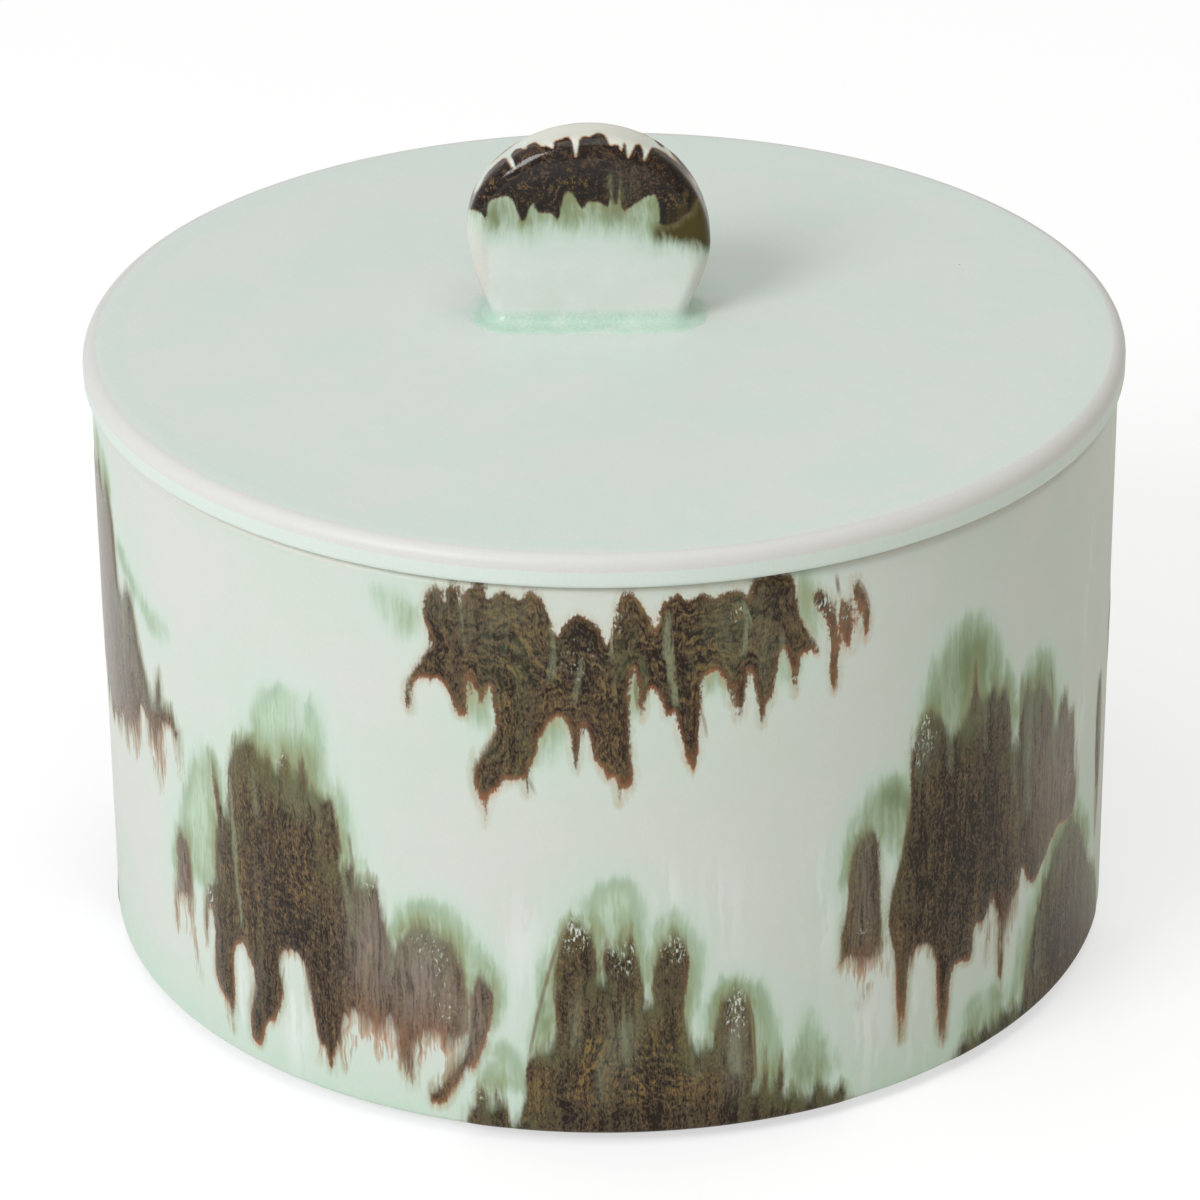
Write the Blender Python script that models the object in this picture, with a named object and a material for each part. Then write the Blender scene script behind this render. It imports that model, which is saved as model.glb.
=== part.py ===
"""Squat glazed stoneware cookie jar with a flat lift-off lid and an upright disc knob.

The jar is a straight-sided cup that stands on a turned foot ring. The lid is a flat disc
that rests on the rim and overhangs it a little. A ring under the lid hangs into the mouth
and keeps it centred. The knob is a thick upright disc of clay, set slightly off the lid's
middle as it was by hand, and its foot flares into the lid.

Units are metres and +Z is up. The origin is the middle of the foot ring's underside.
"""

import math

import bmesh
import bpy

MM = 0.001

# Cup
BODY_DIAMETER = 177.7 * MM
BODY_HEIGHT = 102.6 * MM
WALL_THICKNESS = 5.0 * MM
BASE_THICKNESS = 6.0 * MM
RIM_OUTER_ROUND = 1.8 * MM
RIM_INNER_ROUND = 1.4 * MM
BASE_ROUND = 1.2 * MM
INSIDE_CORNER_ROUND = 6.0 * MM

# Foot ring
FOOT_HEIGHT = 2.0 * MM
FOOT_WIDTH = 7.0 * MM
FOOT_SETBACK = 8.0 * MM
FOOT_ROUND = 0.6 * MM

# Lid disc
LID_OVERHANG = 1.15 * MM
LID_THICKNESS = 5.7 * MM
LID_TOP_ROUND = 2.4 * MM
LID_BOTTOM_ROUND = 1.0 * MM

# Locating ring under the lid
FLANGE_CLEARANCE = 1.6 * MM
FLANGE_THICKNESS = 4.5 * MM
FLANGE_DEPTH = 9.0 * MM
FLANGE_ROUND = 1.4 * MM

# Knob: widest at its belly, drawn in to its foot, with a crown over the belly
KNOB_WIDTH = 42.0 * MM
KNOB_FOOT_DRAW_IN = 4.8 * MM
KNOB_BELLY_HEIGHT = 14.5 * MM
KNOB_CROWN_HEIGHT = 19.4 * MM
KNOB_THICKNESS = 10.5 * MM
KNOB_EDGE_ROUND = 3.0 * MM
KNOB_FACE_SWELL = 0.5 * MM
KNOB_FILLET = 3.1 * MM
KNOB_OFFSET_X = -2.5 * MM
KNOB_OFFSET_Y = 5.8 * MM

# How the sides leave the belly: 1 is a straight taper, more keeps them upright for longer
KNOB_TAPER = 1.6

# Gap left between pieces that touch
SEAM = 0.3 * MM

# How finely curves are divided
TURN_STEPS = 80
ARC_STEPS = 4
KNOB_FACE_STEPS = 6
KNOB_BELLY_STEPS = 5
KNOB_CROWN_STEPS = 12
SHARP_ANGLE = math.radians(35.0)

# The most of a wall's thickness that one of its two roundings may take
ROUND_SHARE = 0.45

# Heights and radii that follow from the sizes above
BODY_RADIUS = BODY_DIAMETER / 2
MOUTH_RADIUS = BODY_RADIUS - WALL_THICKNESS
LID_RADIUS = BODY_RADIUS + LID_OVERHANG
RIM_Z = FOOT_HEIGHT + BODY_HEIGHT
LID_UNDERSIDE_Z = RIM_Z + SEAM
KNOB_FOOT_Z = LID_UNDERSIDE_Z + LID_THICKNESS + SEAM


def limited_round(radius, wall):
    """Return the rounding radius, kept within its share of the wall it is cut from."""
    return min(radius, wall * ROUND_SHARE)


def corner(r_centre, z_centre, radius, start_deg, end_deg):
    """Return the (r, z) points of a rounded corner, as an arc about its centre."""
    points = []
    for step in range(ARC_STEPS + 1):
        angle = math.radians(start_deg + (end_deg - start_deg) * step / ARC_STEPS)
        points.append((r_centre + radius * math.cos(angle), z_centre + radius * math.sin(angle)))
    return points


def glaze_material(name, colour, roughness, coat):
    """Return a ceramic surface of one colour, with a glassy coat where it is glazed."""
    material = bpy.data.materials.new(name)
    material.use_nodes = True
    material.diffuse_color = colour
    shader = material.node_tree.nodes["Principled BSDF"]
    shader.inputs["Base Color"].default_value = colour
    shader.inputs["Roughness"].default_value = roughness
    shader.inputs["Metallic"].default_value = 0.0
    shader.inputs["Coat Weight"].default_value = coat
    return material


def add_piece(name, mesh, material, parent, location=(0.0, 0.0, 0.0)):
    """Put a finished mesh into the scene as one smooth-shaded named piece."""
    mesh.shade_smooth()
    mesh.set_sharp_from_angle(angle=SHARP_ANGLE)
    mesh.materials.append(material)
    piece = bpy.data.objects.new(name, mesh)
    piece.parent = parent
    piece.location = location
    bpy.context.scene.collection.objects.link(piece)
    return piece


def add_frame(name, location):
    """Add an empty that carries the pieces of one body."""
    frame = bpy.data.objects.new(name, None)
    frame.location = location
    bpy.context.scene.collection.objects.link(frame)
    return frame


def turned_mesh(name, profile, closed):
    """Turn an (r, z) profile about the Z axis, as on a potter's wheel.

    An open profile starts and ends on the axis. A closed one makes a ring.
    """
    mesh = bpy.data.meshes.new(name)
    bm = bmesh.new()
    verts = [bm.verts.new((r, 0.0, z)) for r, z in profile]
    edges = [bm.edges.new(pair) for pair in zip(verts, verts[1:])]
    if closed:
        edges.append(bm.edges.new((verts[-1], verts[0])))
    bmesh.ops.spin(
        bm,
        geom=verts + edges,
        cent=(0.0, 0.0, 0.0),
        axis=(0.0, 0.0, 1.0),
        angle=math.tau,
        steps=TURN_STEPS,
        use_merge=True,
    )
    bmesh.ops.remove_doubles(bm, verts=bm.verts, dist=0.001 * MM)
    bmesh.ops.recalc_face_normals(bm, faces=bm.faces)
    bm.to_mesh(mesh)
    bm.free()
    return mesh


def jar_body_profile():
    """Return the cup's outline, from the middle of its underside round to its inside floor."""
    outer = limited_round(RIM_OUTER_ROUND, WALL_THICKNESS)
    inner = limited_round(RIM_INNER_ROUND, WALL_THICKNESS)
    base = limited_round(BASE_ROUND, BASE_THICKNESS)
    floor_z = FOOT_HEIGHT + BASE_THICKNESS
    inside = min(INSIDE_CORNER_ROUND, MOUTH_RADIUS, (BODY_HEIGHT - BASE_THICKNESS) * ROUND_SHARE)
    profile = [(0.0, FOOT_HEIGHT)]
    profile += corner(BODY_RADIUS - base, FOOT_HEIGHT + base, base, -90.0, 0.0)
    profile += corner(BODY_RADIUS - outer, RIM_Z - outer, outer, 0.0, 90.0)
    profile += corner(MOUTH_RADIUS + inner, RIM_Z - inner, inner, 90.0, 180.0)
    profile += corner(MOUTH_RADIUS - inside, floor_z + inside, inside, 0.0, -90.0)
    profile.append((0.0, floor_z))
    return profile


def foot_ring_profile():
    """Return the closed outline of the turned foot, which ends just under the cup's base."""
    outer_r = BODY_RADIUS - FOOT_SETBACK
    inner_r = outer_r - FOOT_WIDTH
    top_z = FOOT_HEIGHT - SEAM
    edge = min(FOOT_ROUND, top_z * ROUND_SHARE, FOOT_WIDTH * ROUND_SHARE)
    profile = [(inner_r, top_z)]
    profile += corner(inner_r + edge, edge, edge, 180.0, 270.0)
    profile += corner(outer_r - edge, edge, edge, 270.0, 360.0)
    profile.append((outer_r, top_z))
    return profile


def lid_plate_profile():
    """Return the lid disc's outline over its own underside, from its middle round to the top."""
    lower = limited_round(LID_BOTTOM_ROUND, LID_THICKNESS)
    upper = limited_round(LID_TOP_ROUND, LID_THICKNESS)
    profile = [(0.0, 0.0)]
    profile += corner(LID_RADIUS - lower, lower, lower, -90.0, 0.0)
    profile += corner(LID_RADIUS - upper, LID_THICKNESS - upper, upper, 0.0, 90.0)
    profile.append((0.0, LID_THICKNESS))
    return profile


def lid_flange_profile():
    """Return the closed outline of the locating ring, which hangs below the lid's underside."""
    outer_r = MOUTH_RADIUS - FLANGE_CLEARANCE
    inner_r = outer_r - FLANGE_THICKNESS
    top_z = -SEAM
    low_z = top_z - FLANGE_DEPTH
    edge = min(FLANGE_ROUND, FLANGE_THICKNESS * ROUND_SHARE, FLANGE_DEPTH * ROUND_SHARE)
    profile = [(inner_r, top_z)]
    profile += corner(inner_r + edge, low_z + edge, edge, 180.0, 270.0)
    profile += corner(outer_r - edge, low_z + edge, edge, 270.0, 360.0)
    profile.append((outer_r, top_z))
    return profile


def knob_outline_point(level, inset):
    """Return the (half width, height) of the knob's front outline, drawn in by an inset.

    The level runs from 0 at the foot to 1 at the belly and 2 at the top. The sides taper
    from the belly down to the foot, and half an ellipse closes the disc over the belly.
    """
    belly = KNOB_WIDTH / 2
    if level < 1.0:
        half_width = belly - inset - KNOB_FOOT_DRAW_IN * (1.0 - level) ** KNOB_TAPER
        return half_width, KNOB_BELLY_HEIGHT * level
    angle = math.radians(90.0) * (level - 1.0)
    height = KNOB_BELLY_HEIGHT + (KNOB_CROWN_HEIGHT - inset) * math.sin(angle)
    return (belly - inset) * math.cos(angle), height


def knob_fillet():
    """Return the fillet's radius at the knob's foot, kept below its belly."""
    return limited_round(KNOB_FILLET, KNOB_BELLY_HEIGHT)


def knob_flare(height):
    """Return how far the concave fillet stands out from the knob at a height over its foot."""
    fillet = knob_fillet()
    if height >= fillet:
        return 0.0
    return fillet - math.sqrt(fillet ** 2 - (fillet - height) ** 2)


def knob_corner_points(level, side_x, side_y, start_deg):
    """Return the (x, y, z) points round one rounded edge, a quarter turn in plan."""
    edge = limited_round(KNOB_EDGE_ROUND, KNOB_THICKNESS)
    points = []
    for step in range(ARC_STEPS + 1):
        angle = math.radians(start_deg + 90.0 * step / ARC_STEPS)
        inset = edge * (1.0 - abs(math.cos(angle)))
        half_width, height = knob_outline_point(level, inset)
        half_depth = KNOB_THICKNESS / 2 - edge + edge * abs(math.sin(angle))
        flare = knob_flare(height)
        x = side_x * half_width + flare * math.cos(angle)
        y = side_y * half_depth + flare * math.sin(angle)
        points.append((x, y, height))
    return points


def knob_face_points(level, start, end):
    """Return the points across a broad face between its two edges, slightly swollen."""
    swell = KNOB_FACE_SWELL * math.sin(math.radians(90.0) * level)
    points = []
    for step in range(1, KNOB_FACE_STEPS):
        share = step / KNOB_FACE_STEPS
        x = start[0] + (end[0] - start[0]) * share
        y = start[1] + math.copysign(swell * 4.0 * share * (1.0 - share), start[1])
        points.append((x, y, start[2]))
    return points


def knob_section(level):
    """Return the closed ring of points of the knob at one level, seen from above."""
    front_right = knob_corner_points(level, 1, -1, 270.0)
    back_right = knob_corner_points(level, 1, 1, 0.0)
    back_left = knob_corner_points(level, -1, 1, 90.0)
    front_left = knob_corner_points(level, -1, -1, 180.0)
    back = knob_face_points(level, back_right[-1], back_left[0])
    front = knob_face_points(level, front_left[-1], front_right[0])
    return front_right + back_right + back + back_left + front_left + front


def knob_levels():
    """Return the levels of the knob's sections, closer together in the fillet."""
    levels = []
    fillet_level = knob_fillet() / KNOB_BELLY_HEIGHT
    for step in range(ARC_STEPS):
        angle = math.radians(90.0) * step / ARC_STEPS
        levels.append(fillet_level * (1.0 - math.cos(angle)))
    for step in range(KNOB_BELLY_STEPS):
        levels.append(fillet_level + (1.0 - fillet_level) * step / KNOB_BELLY_STEPS)
    for step in range(KNOB_CROWN_STEPS + 1):
        levels.append(1.0 + step / KNOB_CROWN_STEPS)
    return levels


def knob_mesh():
    """Loft the knob through its sections, close its flat foot and merge its top ridge."""
    mesh = bpy.data.meshes.new("lid_knob")
    bm = bmesh.new()
    rings = [[bm.verts.new(point) for point in knob_section(level)] for level in knob_levels()]
    count = len(rings[0])
    for lower, upper in zip(rings, rings[1:]):
        for index in range(count):
            following = (index + 1) % count
            bm.faces.new((lower[index], lower[following], upper[following], upper[index]))
    bm.faces.new(tuple(reversed(rings[0])))
    bmesh.ops.remove_doubles(bm, verts=bm.verts, dist=0.001 * MM)
    bmesh.ops.recalc_face_normals(bm, faces=bm.faces)
    bm.to_mesh(mesh)
    bm.free()
    return mesh


def build_jar(glaze, bare_clay):
    """Build the cup and its foot ring, which stay put."""
    jar = add_frame("jar", (0.0, 0.0, 0.0))
    add_piece("jar_body", turned_mesh("jar_body", jar_body_profile(), False), glaze, jar)
    add_piece("foot_ring", turned_mesh("foot_ring", foot_ring_profile(), True), bare_clay, jar)


def build_lid(lid_glaze, flange_glaze, knob_glaze):
    """Build the lid's three pieces on a frame that lifts off along the jar's axis."""
    lid = add_frame("lid", (0.0, 0.0, LID_UNDERSIDE_Z))
    plate = turned_mesh("lid_plate", lid_plate_profile(), False)
    flange = turned_mesh("lid_flange", lid_flange_profile(), True)
    add_piece("lid_plate", plate, lid_glaze, lid)
    add_piece("lid_flange", flange, flange_glaze, lid)
    knob_place = (KNOB_OFFSET_X, KNOB_OFFSET_Y, KNOB_FOOT_Z - LID_UNDERSIDE_Z)
    add_piece("lid_knob", knob_mesh(), knob_glaze, lid, knob_place)


def main():
    """Clear the scene and build the cookie jar."""
    for old in list(bpy.data.objects):
        bpy.data.objects.remove(old, do_unlink=True)
    body_glaze = glaze_material("white_drip_glaze", (0.62, 0.64, 0.58, 1.0), 0.16, 0.5)
    lid_glaze = glaze_material("celadon_glaze", (0.62, 0.69, 0.64, 1.0), 0.14, 0.5)
    knob_glaze = glaze_material("brown_drip_glaze", (0.10, 0.07, 0.05, 1.0), 0.16, 0.5)
    bare_clay = glaze_material("bare_stoneware", (0.55, 0.47, 0.38, 1.0), 0.8, 0.0)
    build_jar(body_glaze, bare_clay)
    build_lid(lid_glaze, lid_glaze, knob_glaze)
    bpy.context.view_layer.update()


main()
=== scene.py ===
"""Looks of a squat stoneware cookie jar: celadon and drip glazes, a flat lid and an upright disc knob.

Lengths are in metres, or in millimetres where a name ends in _MM or a docstring says so. Azimuths are in
degrees round the jar: 0 faces the front, and they grow towards the right.
"""
import logging
import math
from dataclasses import dataclass, field
from enum import Enum
from typing import Any, Iterable

import bpy
import numpy as np
from mathutils import Matrix, Vector


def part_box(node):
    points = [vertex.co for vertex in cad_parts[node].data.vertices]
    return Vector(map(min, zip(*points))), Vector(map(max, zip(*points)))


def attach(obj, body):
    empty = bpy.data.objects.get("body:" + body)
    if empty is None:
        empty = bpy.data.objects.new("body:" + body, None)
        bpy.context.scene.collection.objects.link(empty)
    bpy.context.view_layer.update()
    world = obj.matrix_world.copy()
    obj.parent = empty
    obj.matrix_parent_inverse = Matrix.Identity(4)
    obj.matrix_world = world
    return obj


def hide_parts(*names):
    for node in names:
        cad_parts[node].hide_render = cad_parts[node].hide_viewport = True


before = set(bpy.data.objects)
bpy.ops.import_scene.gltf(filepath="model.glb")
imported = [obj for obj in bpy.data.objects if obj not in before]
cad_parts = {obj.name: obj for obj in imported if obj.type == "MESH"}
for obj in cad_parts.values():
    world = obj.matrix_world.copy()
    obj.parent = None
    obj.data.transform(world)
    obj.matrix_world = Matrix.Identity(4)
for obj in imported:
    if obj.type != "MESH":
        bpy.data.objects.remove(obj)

log = logging.getLogger("cookie_jar")

MM = 0.001
PICTURE_SIDE = 1200  # Pixels
SENSOR_MM = 36.0
FAR_MM = 12.0  # As far as the depth of the drawn glaze is followed
TINY = 1e-9  # Guards divisions

Array = np.ndarray
Colour = tuple[float, float, float, float]
Counts = tuple[int, ...]
Outline = tuple[float, ...]
Oval = tuple[float, float, float, float, float]
Place = tuple[float, ...]
Point = tuple[float, float]  # A place on a surface, or the two ends of a rise
Socket = bpy.types.NodeSocket
Stroke = tuple[Outline, float, float]
Tree = bpy.types.NodeTree


class Body(str, Enum):
    """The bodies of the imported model."""

    JAR = "jar"
    LID = "lid"


class Slot(str, Enum):
    """The record's material slots."""

    DRIP = "drip_glaze"
    CELADON = "celadon_glaze"
    KNOB = "knob_glaze"
    CLAY = "bare_clay"


class Mark(str, Enum):
    """The point attributes that carry the drawn glaze to the shaders."""

    BROWN = "brown_depth"
    GREEN = "green_depth"
    UPPER = "upper_edge"
    LOWER = "lower_edge"
    OCHRE = "ochre"
    MAUVE = "mauve"
    # Where the pale lace shows through the brown glaze, and where white painted highlights fleck it
    GLINT = "glint"
    MOSS = "moss"
    ARRIS = "arris"
    POOL = "pool"
    DARK = "dark"
    RUN = "white_run"
    FADE = "fade"
    CRISP = "crisp"
    VEIL = "veil"
    RUST = "rust"
    SEAM = "seam_offset"
    SEAM_STRENGTH = "seam_strength"
    LINE = "line_offset"
    LINE_STRENGTH = "line_strength"

    @property
    def label(self) -> str:
        """Give the name of its input in a node group."""
        return self.name.replace("_", " ").capitalize()


class Drawing(str, Enum):
    """What a splash draws, as its fields are named."""

    BROWN = "brown"
    GREEN = "green"
    SEAMS = "seams"
    LINES = "lines"


OUTSIDE = {Mark.BROWN: -FAR_MM, Mark.GREEN: -FAR_MM, Mark.SEAM: FAR_MM, Mark.LINE: FAR_MM}
DRAWN_MARKS = [mark for mark in Mark if mark not in (Mark.ARRIS, Mark.POOL)]
Marks = dict[Mark, Array]


def srgb(red: float, green: float, blue: float) -> Colour:
    """Turn a colour read on a screen, from 0 to 255, into linear light with full alpha."""
    return (*(((value / 255.0 + 0.055) / 1.055) ** 2.4 for value in (red, green, blue)), 1.0)


def smoothstep(value: Array, low: float, high: float) -> Array:
    """Rise smoothly from 0 at low to 1 at high."""
    share = np.clip((value - low) / (high - low), 0.0, 1.0)
    return share * share * (3.0 - 2.0 * share)


# Drawn glaze


@dataclass(frozen=True)
class Splash:
    """One splash of glaze: brown runs, the green domes over them, and tints inside.

    Attributes:
        centre: Its middle, across the surface.
        brown: Outlines of the brown glaze: across, up, across, up and so on.
        green: Outlines of the green glaze.
        ovals: Soft ovals of each tint: the middle across and up, half the width, half the height, the strength.
        seams: Pale lines between lobes of brown glaze, from left to right and drawn from the top down: the
            points, half the width in mm, the strength.
        lines: Thin brown lines, drawn in the same way.
    """

    centre: float
    brown: tuple[Outline, ...]
    green: tuple[Outline, ...] = ()
    ovals: dict[Mark, tuple[Oval, ...]] = field(default_factory=dict)
    seams: tuple[Stroke, ...] = ()
    lines: tuple[Stroke, ...] = ()

    def mirrored(self, centre: float, lift: float, stretch: float) -> "Splash":
        """Make a mirrored copy somewhere else.

        Args:
            centre: The copy's middle.
            lift: How far it moves up in mm.
            stretch: Its width and height over this one's.

        Returns:
            The copy.
        """
        def moved(outline: Outline) -> Outline:
            """Move an outline, a path or a point."""
            points = zip(outline[::2], outline[1::2])
            return tuple(v for x, y in points for v in (centre - (x - self.centre) * stretch, y * stretch + lift))

        brown, green = (tuple(moved(outline) for outline in group) for group in (self.brown, self.green))
        seams, lines = (tuple((moved(path), *rest) for path, *rest in group) for group in (self.seams, self.lines))
        ovals = {
            mark: tuple((*moved(oval[:2]), oval[2] * stretch, oval[3] * stretch, oval[4]) for oval in group)
            for mark, group in self.ovals.items()
        }
        return Splash(centre, brown, green, ovals, seams, lines)


def smooth_curve(corners: Array, closed: bool = True, steps: int = 3) -> Array:
    """Round an outline or a path through its corners.

    Args:
        corners: The points, one row each.
        closed: True for an outline that closes.
        steps: Points per side.

    Returns:
        The points of the curve, one row each.
    """
    here = corners
    if closed:
        before, after, later = (np.roll(here, shift, 0) for shift in (1, -1, -2))
    else:
        ends = np.vstack([here[:1], here, here[-1:]])
        before, here, after, later = ends[:-3], ends[1:-2], ends[2:-1], ends[3:]
    share = (np.arange(steps) / steps)[None, :, None]
    before, here, after, later = (points[:, None] for points in (before, here, after, later))
    curve = 0.5 * (
        2 * here
        + (after - before) * share
        + (2 * before - 5 * here + 4 * after - later) * share ** 2
        + (3 * here - before - 3 * after + later) * share ** 3
    ).reshape(-1, 2)
    return curve if closed else np.vstack([curve, after[-1]])


def beside(points: Array, path: Array) -> tuple[Array, Array]:
    """Measure how far points lie to the side of an open path.

    Args:
        points: The points, one row each.
        path: The path's points, one row each.

    Returns:
        The distance, above 0 on its left, and the way along it to its nearer end.
    """
    start, side = path[:-1], np.diff(path, axis=0)
    length = np.maximum(np.hypot(side[:, 0], side[:, 1]), TINY)
    away = points[:, None] - start
    along = np.clip((away * side).sum(2) / length ** 2, 0.0, 1.0)
    gap = away - side * along[..., None]
    distance = np.hypot(gap[..., 0], gap[..., 1])
    row, nearest = np.arange(len(points)), distance.argmin(1)
    turn = side[nearest, 0] * away[row, nearest, 1] - side[nearest, 1] * away[row, nearest, 0]
    travel = np.concatenate([[0.0], np.cumsum(length)])
    reach = travel[nearest] + along[row, nearest] * length[nearest]
    return np.where(turn < 0.0, -1.0, 1.0) * distance[row, nearest], np.minimum(reach, travel[-1] - reach)


def signed_distance(points: Array, loop: Array) -> Array:
    """Measure how far points lie inside a closed curve.

    Args:
        points: The points, one row each.
        loop: The curve's points, one row each.

    Returns:
        The distance to the curve, above 0 inside it.
    """
    start, side = loop, np.roll(loop, -1, 0) - loop
    length = np.maximum((side ** 2).sum(1), TINY)
    rise = np.where(np.abs(side[:, 1]) < TINY, TINY, side[:, 1])
    result = np.empty(len(points))
    block = 4000
    for first in range(0, len(points), block):
        part = points[first:first + block, None]
        away = part - start
        along = np.clip((away * side).sum(2) / length, 0.0, 1.0)
        gap = away - side * along[..., None]
        nearest = np.sqrt((gap ** 2).sum(2).min(1))
        over = (start[:, 1] > part[..., 1]) != ((start + side)[:, 1] > part[..., 1])
        cross = start[:, 0] + side[:, 0] * (part[..., 1] - start[:, 1]) / rise
        inside = (over & (part[..., 0] < cross)).sum(1) % 2 == 1
        result[first:first + block] = np.where(inside, nearest, -nearest)
    return result


@dataclass(frozen=True)
class GlazeMap:
    """The drawn glaze at the points of one surface.

    Attributes:
        splashes: What is drawn.
        across: The points' places across.
        up: The points' places up in mm.
        mm_per_unit: Millimetres per unit across.
        turn: Units of one whole turn, or 0 for a surface that doesn't close.
        slope_step: Half the rise over which the outlines' slope is measured, in mm.
        reach: How far a stroke is followed to its sides, in mm.
        taper: How far from its ends a stroke reaches its full strength, in mm.
        spread: Offsets at which a stroke has ended and up to which it is at its full strength, in half widths.
        oval_fade: How fast the soft ovals fade.
    """

    splashes: tuple[Splash, ...]
    across: Array
    up: Array
    mm_per_unit: float = 1.0
    turn: float = 0.0
    slope_step: float = 0.6
    reach: float = 5.0
    taper: float = 2.5
    spread: Point = (5.0, 3.0)
    oval_fade: float = 1.2

    def away(self, centre: float) -> Array:
        """Give the points' way across from a centre, the short way round."""
        gap = self.across - centre
        return (gap + self.turn / 2) % self.turn - self.turn / 2 if self.turn else gap

    def flat(self, splash: Splash, corners: Outline, closed: bool = True) -> Array:
        """Round an outline or a path of a splash, in mm from the splash's centre."""
        points = np.reshape(corners, (-1, 2)) - (splash.centre, 0.0)
        return smooth_curve(points * (self.mm_per_unit, 1.0), closed)

    def depth(self, kind: Drawing, rise: float = 0.0) -> Array:
        """Measure the depth inside the outlines of one kind.

        Args:
            kind: The kind.
            rise: How far over the points it is measured, in mm.

        Returns:
            The depth in mm, below 0 outside.
        """
        up, deep = self.up + rise, np.full(self.up.shape, -FAR_MM)
        for splash in self.splashes:
            x = self.away(splash.centre) * self.mm_per_unit
            for outline in getattr(splash, kind.value):
                loop = self.flat(splash, outline)
                low, high = loop.min(0) - FAR_MM, loop.max(0) + FAR_MM
                near = (x > low[0]) & (x < high[0]) & (up > low[1]) & (up < high[1])
                deep[near] = np.maximum(deep[near], signed_distance(np.column_stack([x[near], up[near]]), loop))
        return deep

    def strokes(self, kind: Drawing) -> tuple[Array, Array]:
        """Measure the offset from the nearest thin line of one kind.

        The offset changes sign only on a line: neighbouring lines count their sides the other way round.

        Args:
            kind: The kind.

        Returns:
            The offset in half widths, and the line's strength there.
        """
        up, offset, strong = self.up, np.full(self.up.shape, FAR_MM), np.zeros(self.up.shape)
        for splash in self.splashes:
            x = self.away(splash.centre) * self.mm_per_unit
            for index, (path, width, strength) in enumerate(getattr(splash, kind.value)):
                line = self.flat(splash, path, closed=False)
                low, high = line.min(0) - self.reach, line.max(0) + self.reach
                near = np.flatnonzero((x > low[0]) & (x < high[0]) & (up > low[1]) & (up < high[1]))
                gap, way = beside(np.column_stack([x[near], up[near]]), line)
                gap = gap / width * (-1.0) ** index
                closer = np.abs(gap) < np.abs(offset[near])
                chosen = near[closer]
                offset[chosen] = gap[closer]
                strong[chosen] = smoothstep(way[closer], 0.0, self.taper) * strength
        return offset, strong * smoothstep(np.abs(offset), *self.spread)

    def tint(self, mark: Mark) -> Array:
        """Add up the soft ovals of one tint, up to 1.

        Args:
            mark: The tint.

        Returns:
            The tint, from 0 to 1.
        """
        total = np.zeros(self.up.shape)
        for splash in self.splashes:
            for x, y, half_width, half_height, strength in splash.ovals.get(mark, ()):
                reach = (self.away(x) / half_width) ** 2 + ((self.up - y) / half_height) ** 2
                total += strength * np.exp(-self.oval_fade * reach)
        return np.clip(total, 0.0, 1.0)

    def marks(self) -> Marks:
        """Work out every mark.

        Returns:
            The values of each mark.
        """
        brown, over, under = (self.depth(Drawing.BROWN, rise * self.slope_step) for rise in (0, 1, -1))
        slope = (over - under) / (2 * self.slope_step)
        result = {
            Mark.BROWN: brown,
            Mark.GREEN: self.depth(Drawing.GREEN),
            Mark.UPPER: np.clip(-slope, 0.0, 1.0),
            Mark.LOWER: np.clip(slope, 0.0, 1.0),
        }
        result[Mark.SEAM], result[Mark.SEAM_STRENGTH] = self.strokes(Drawing.SEAMS)
        result[Mark.LINE], result[Mark.LINE_STRENGTH] = self.strokes(Drawing.LINES)
        tints = {mark for splash in self.splashes for mark in splash.ovals}
        return result | {mark: self.tint(mark) for mark in Mark if mark in tints}


# Heights are in mm above the base's edge, and places across are azimuths.

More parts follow.
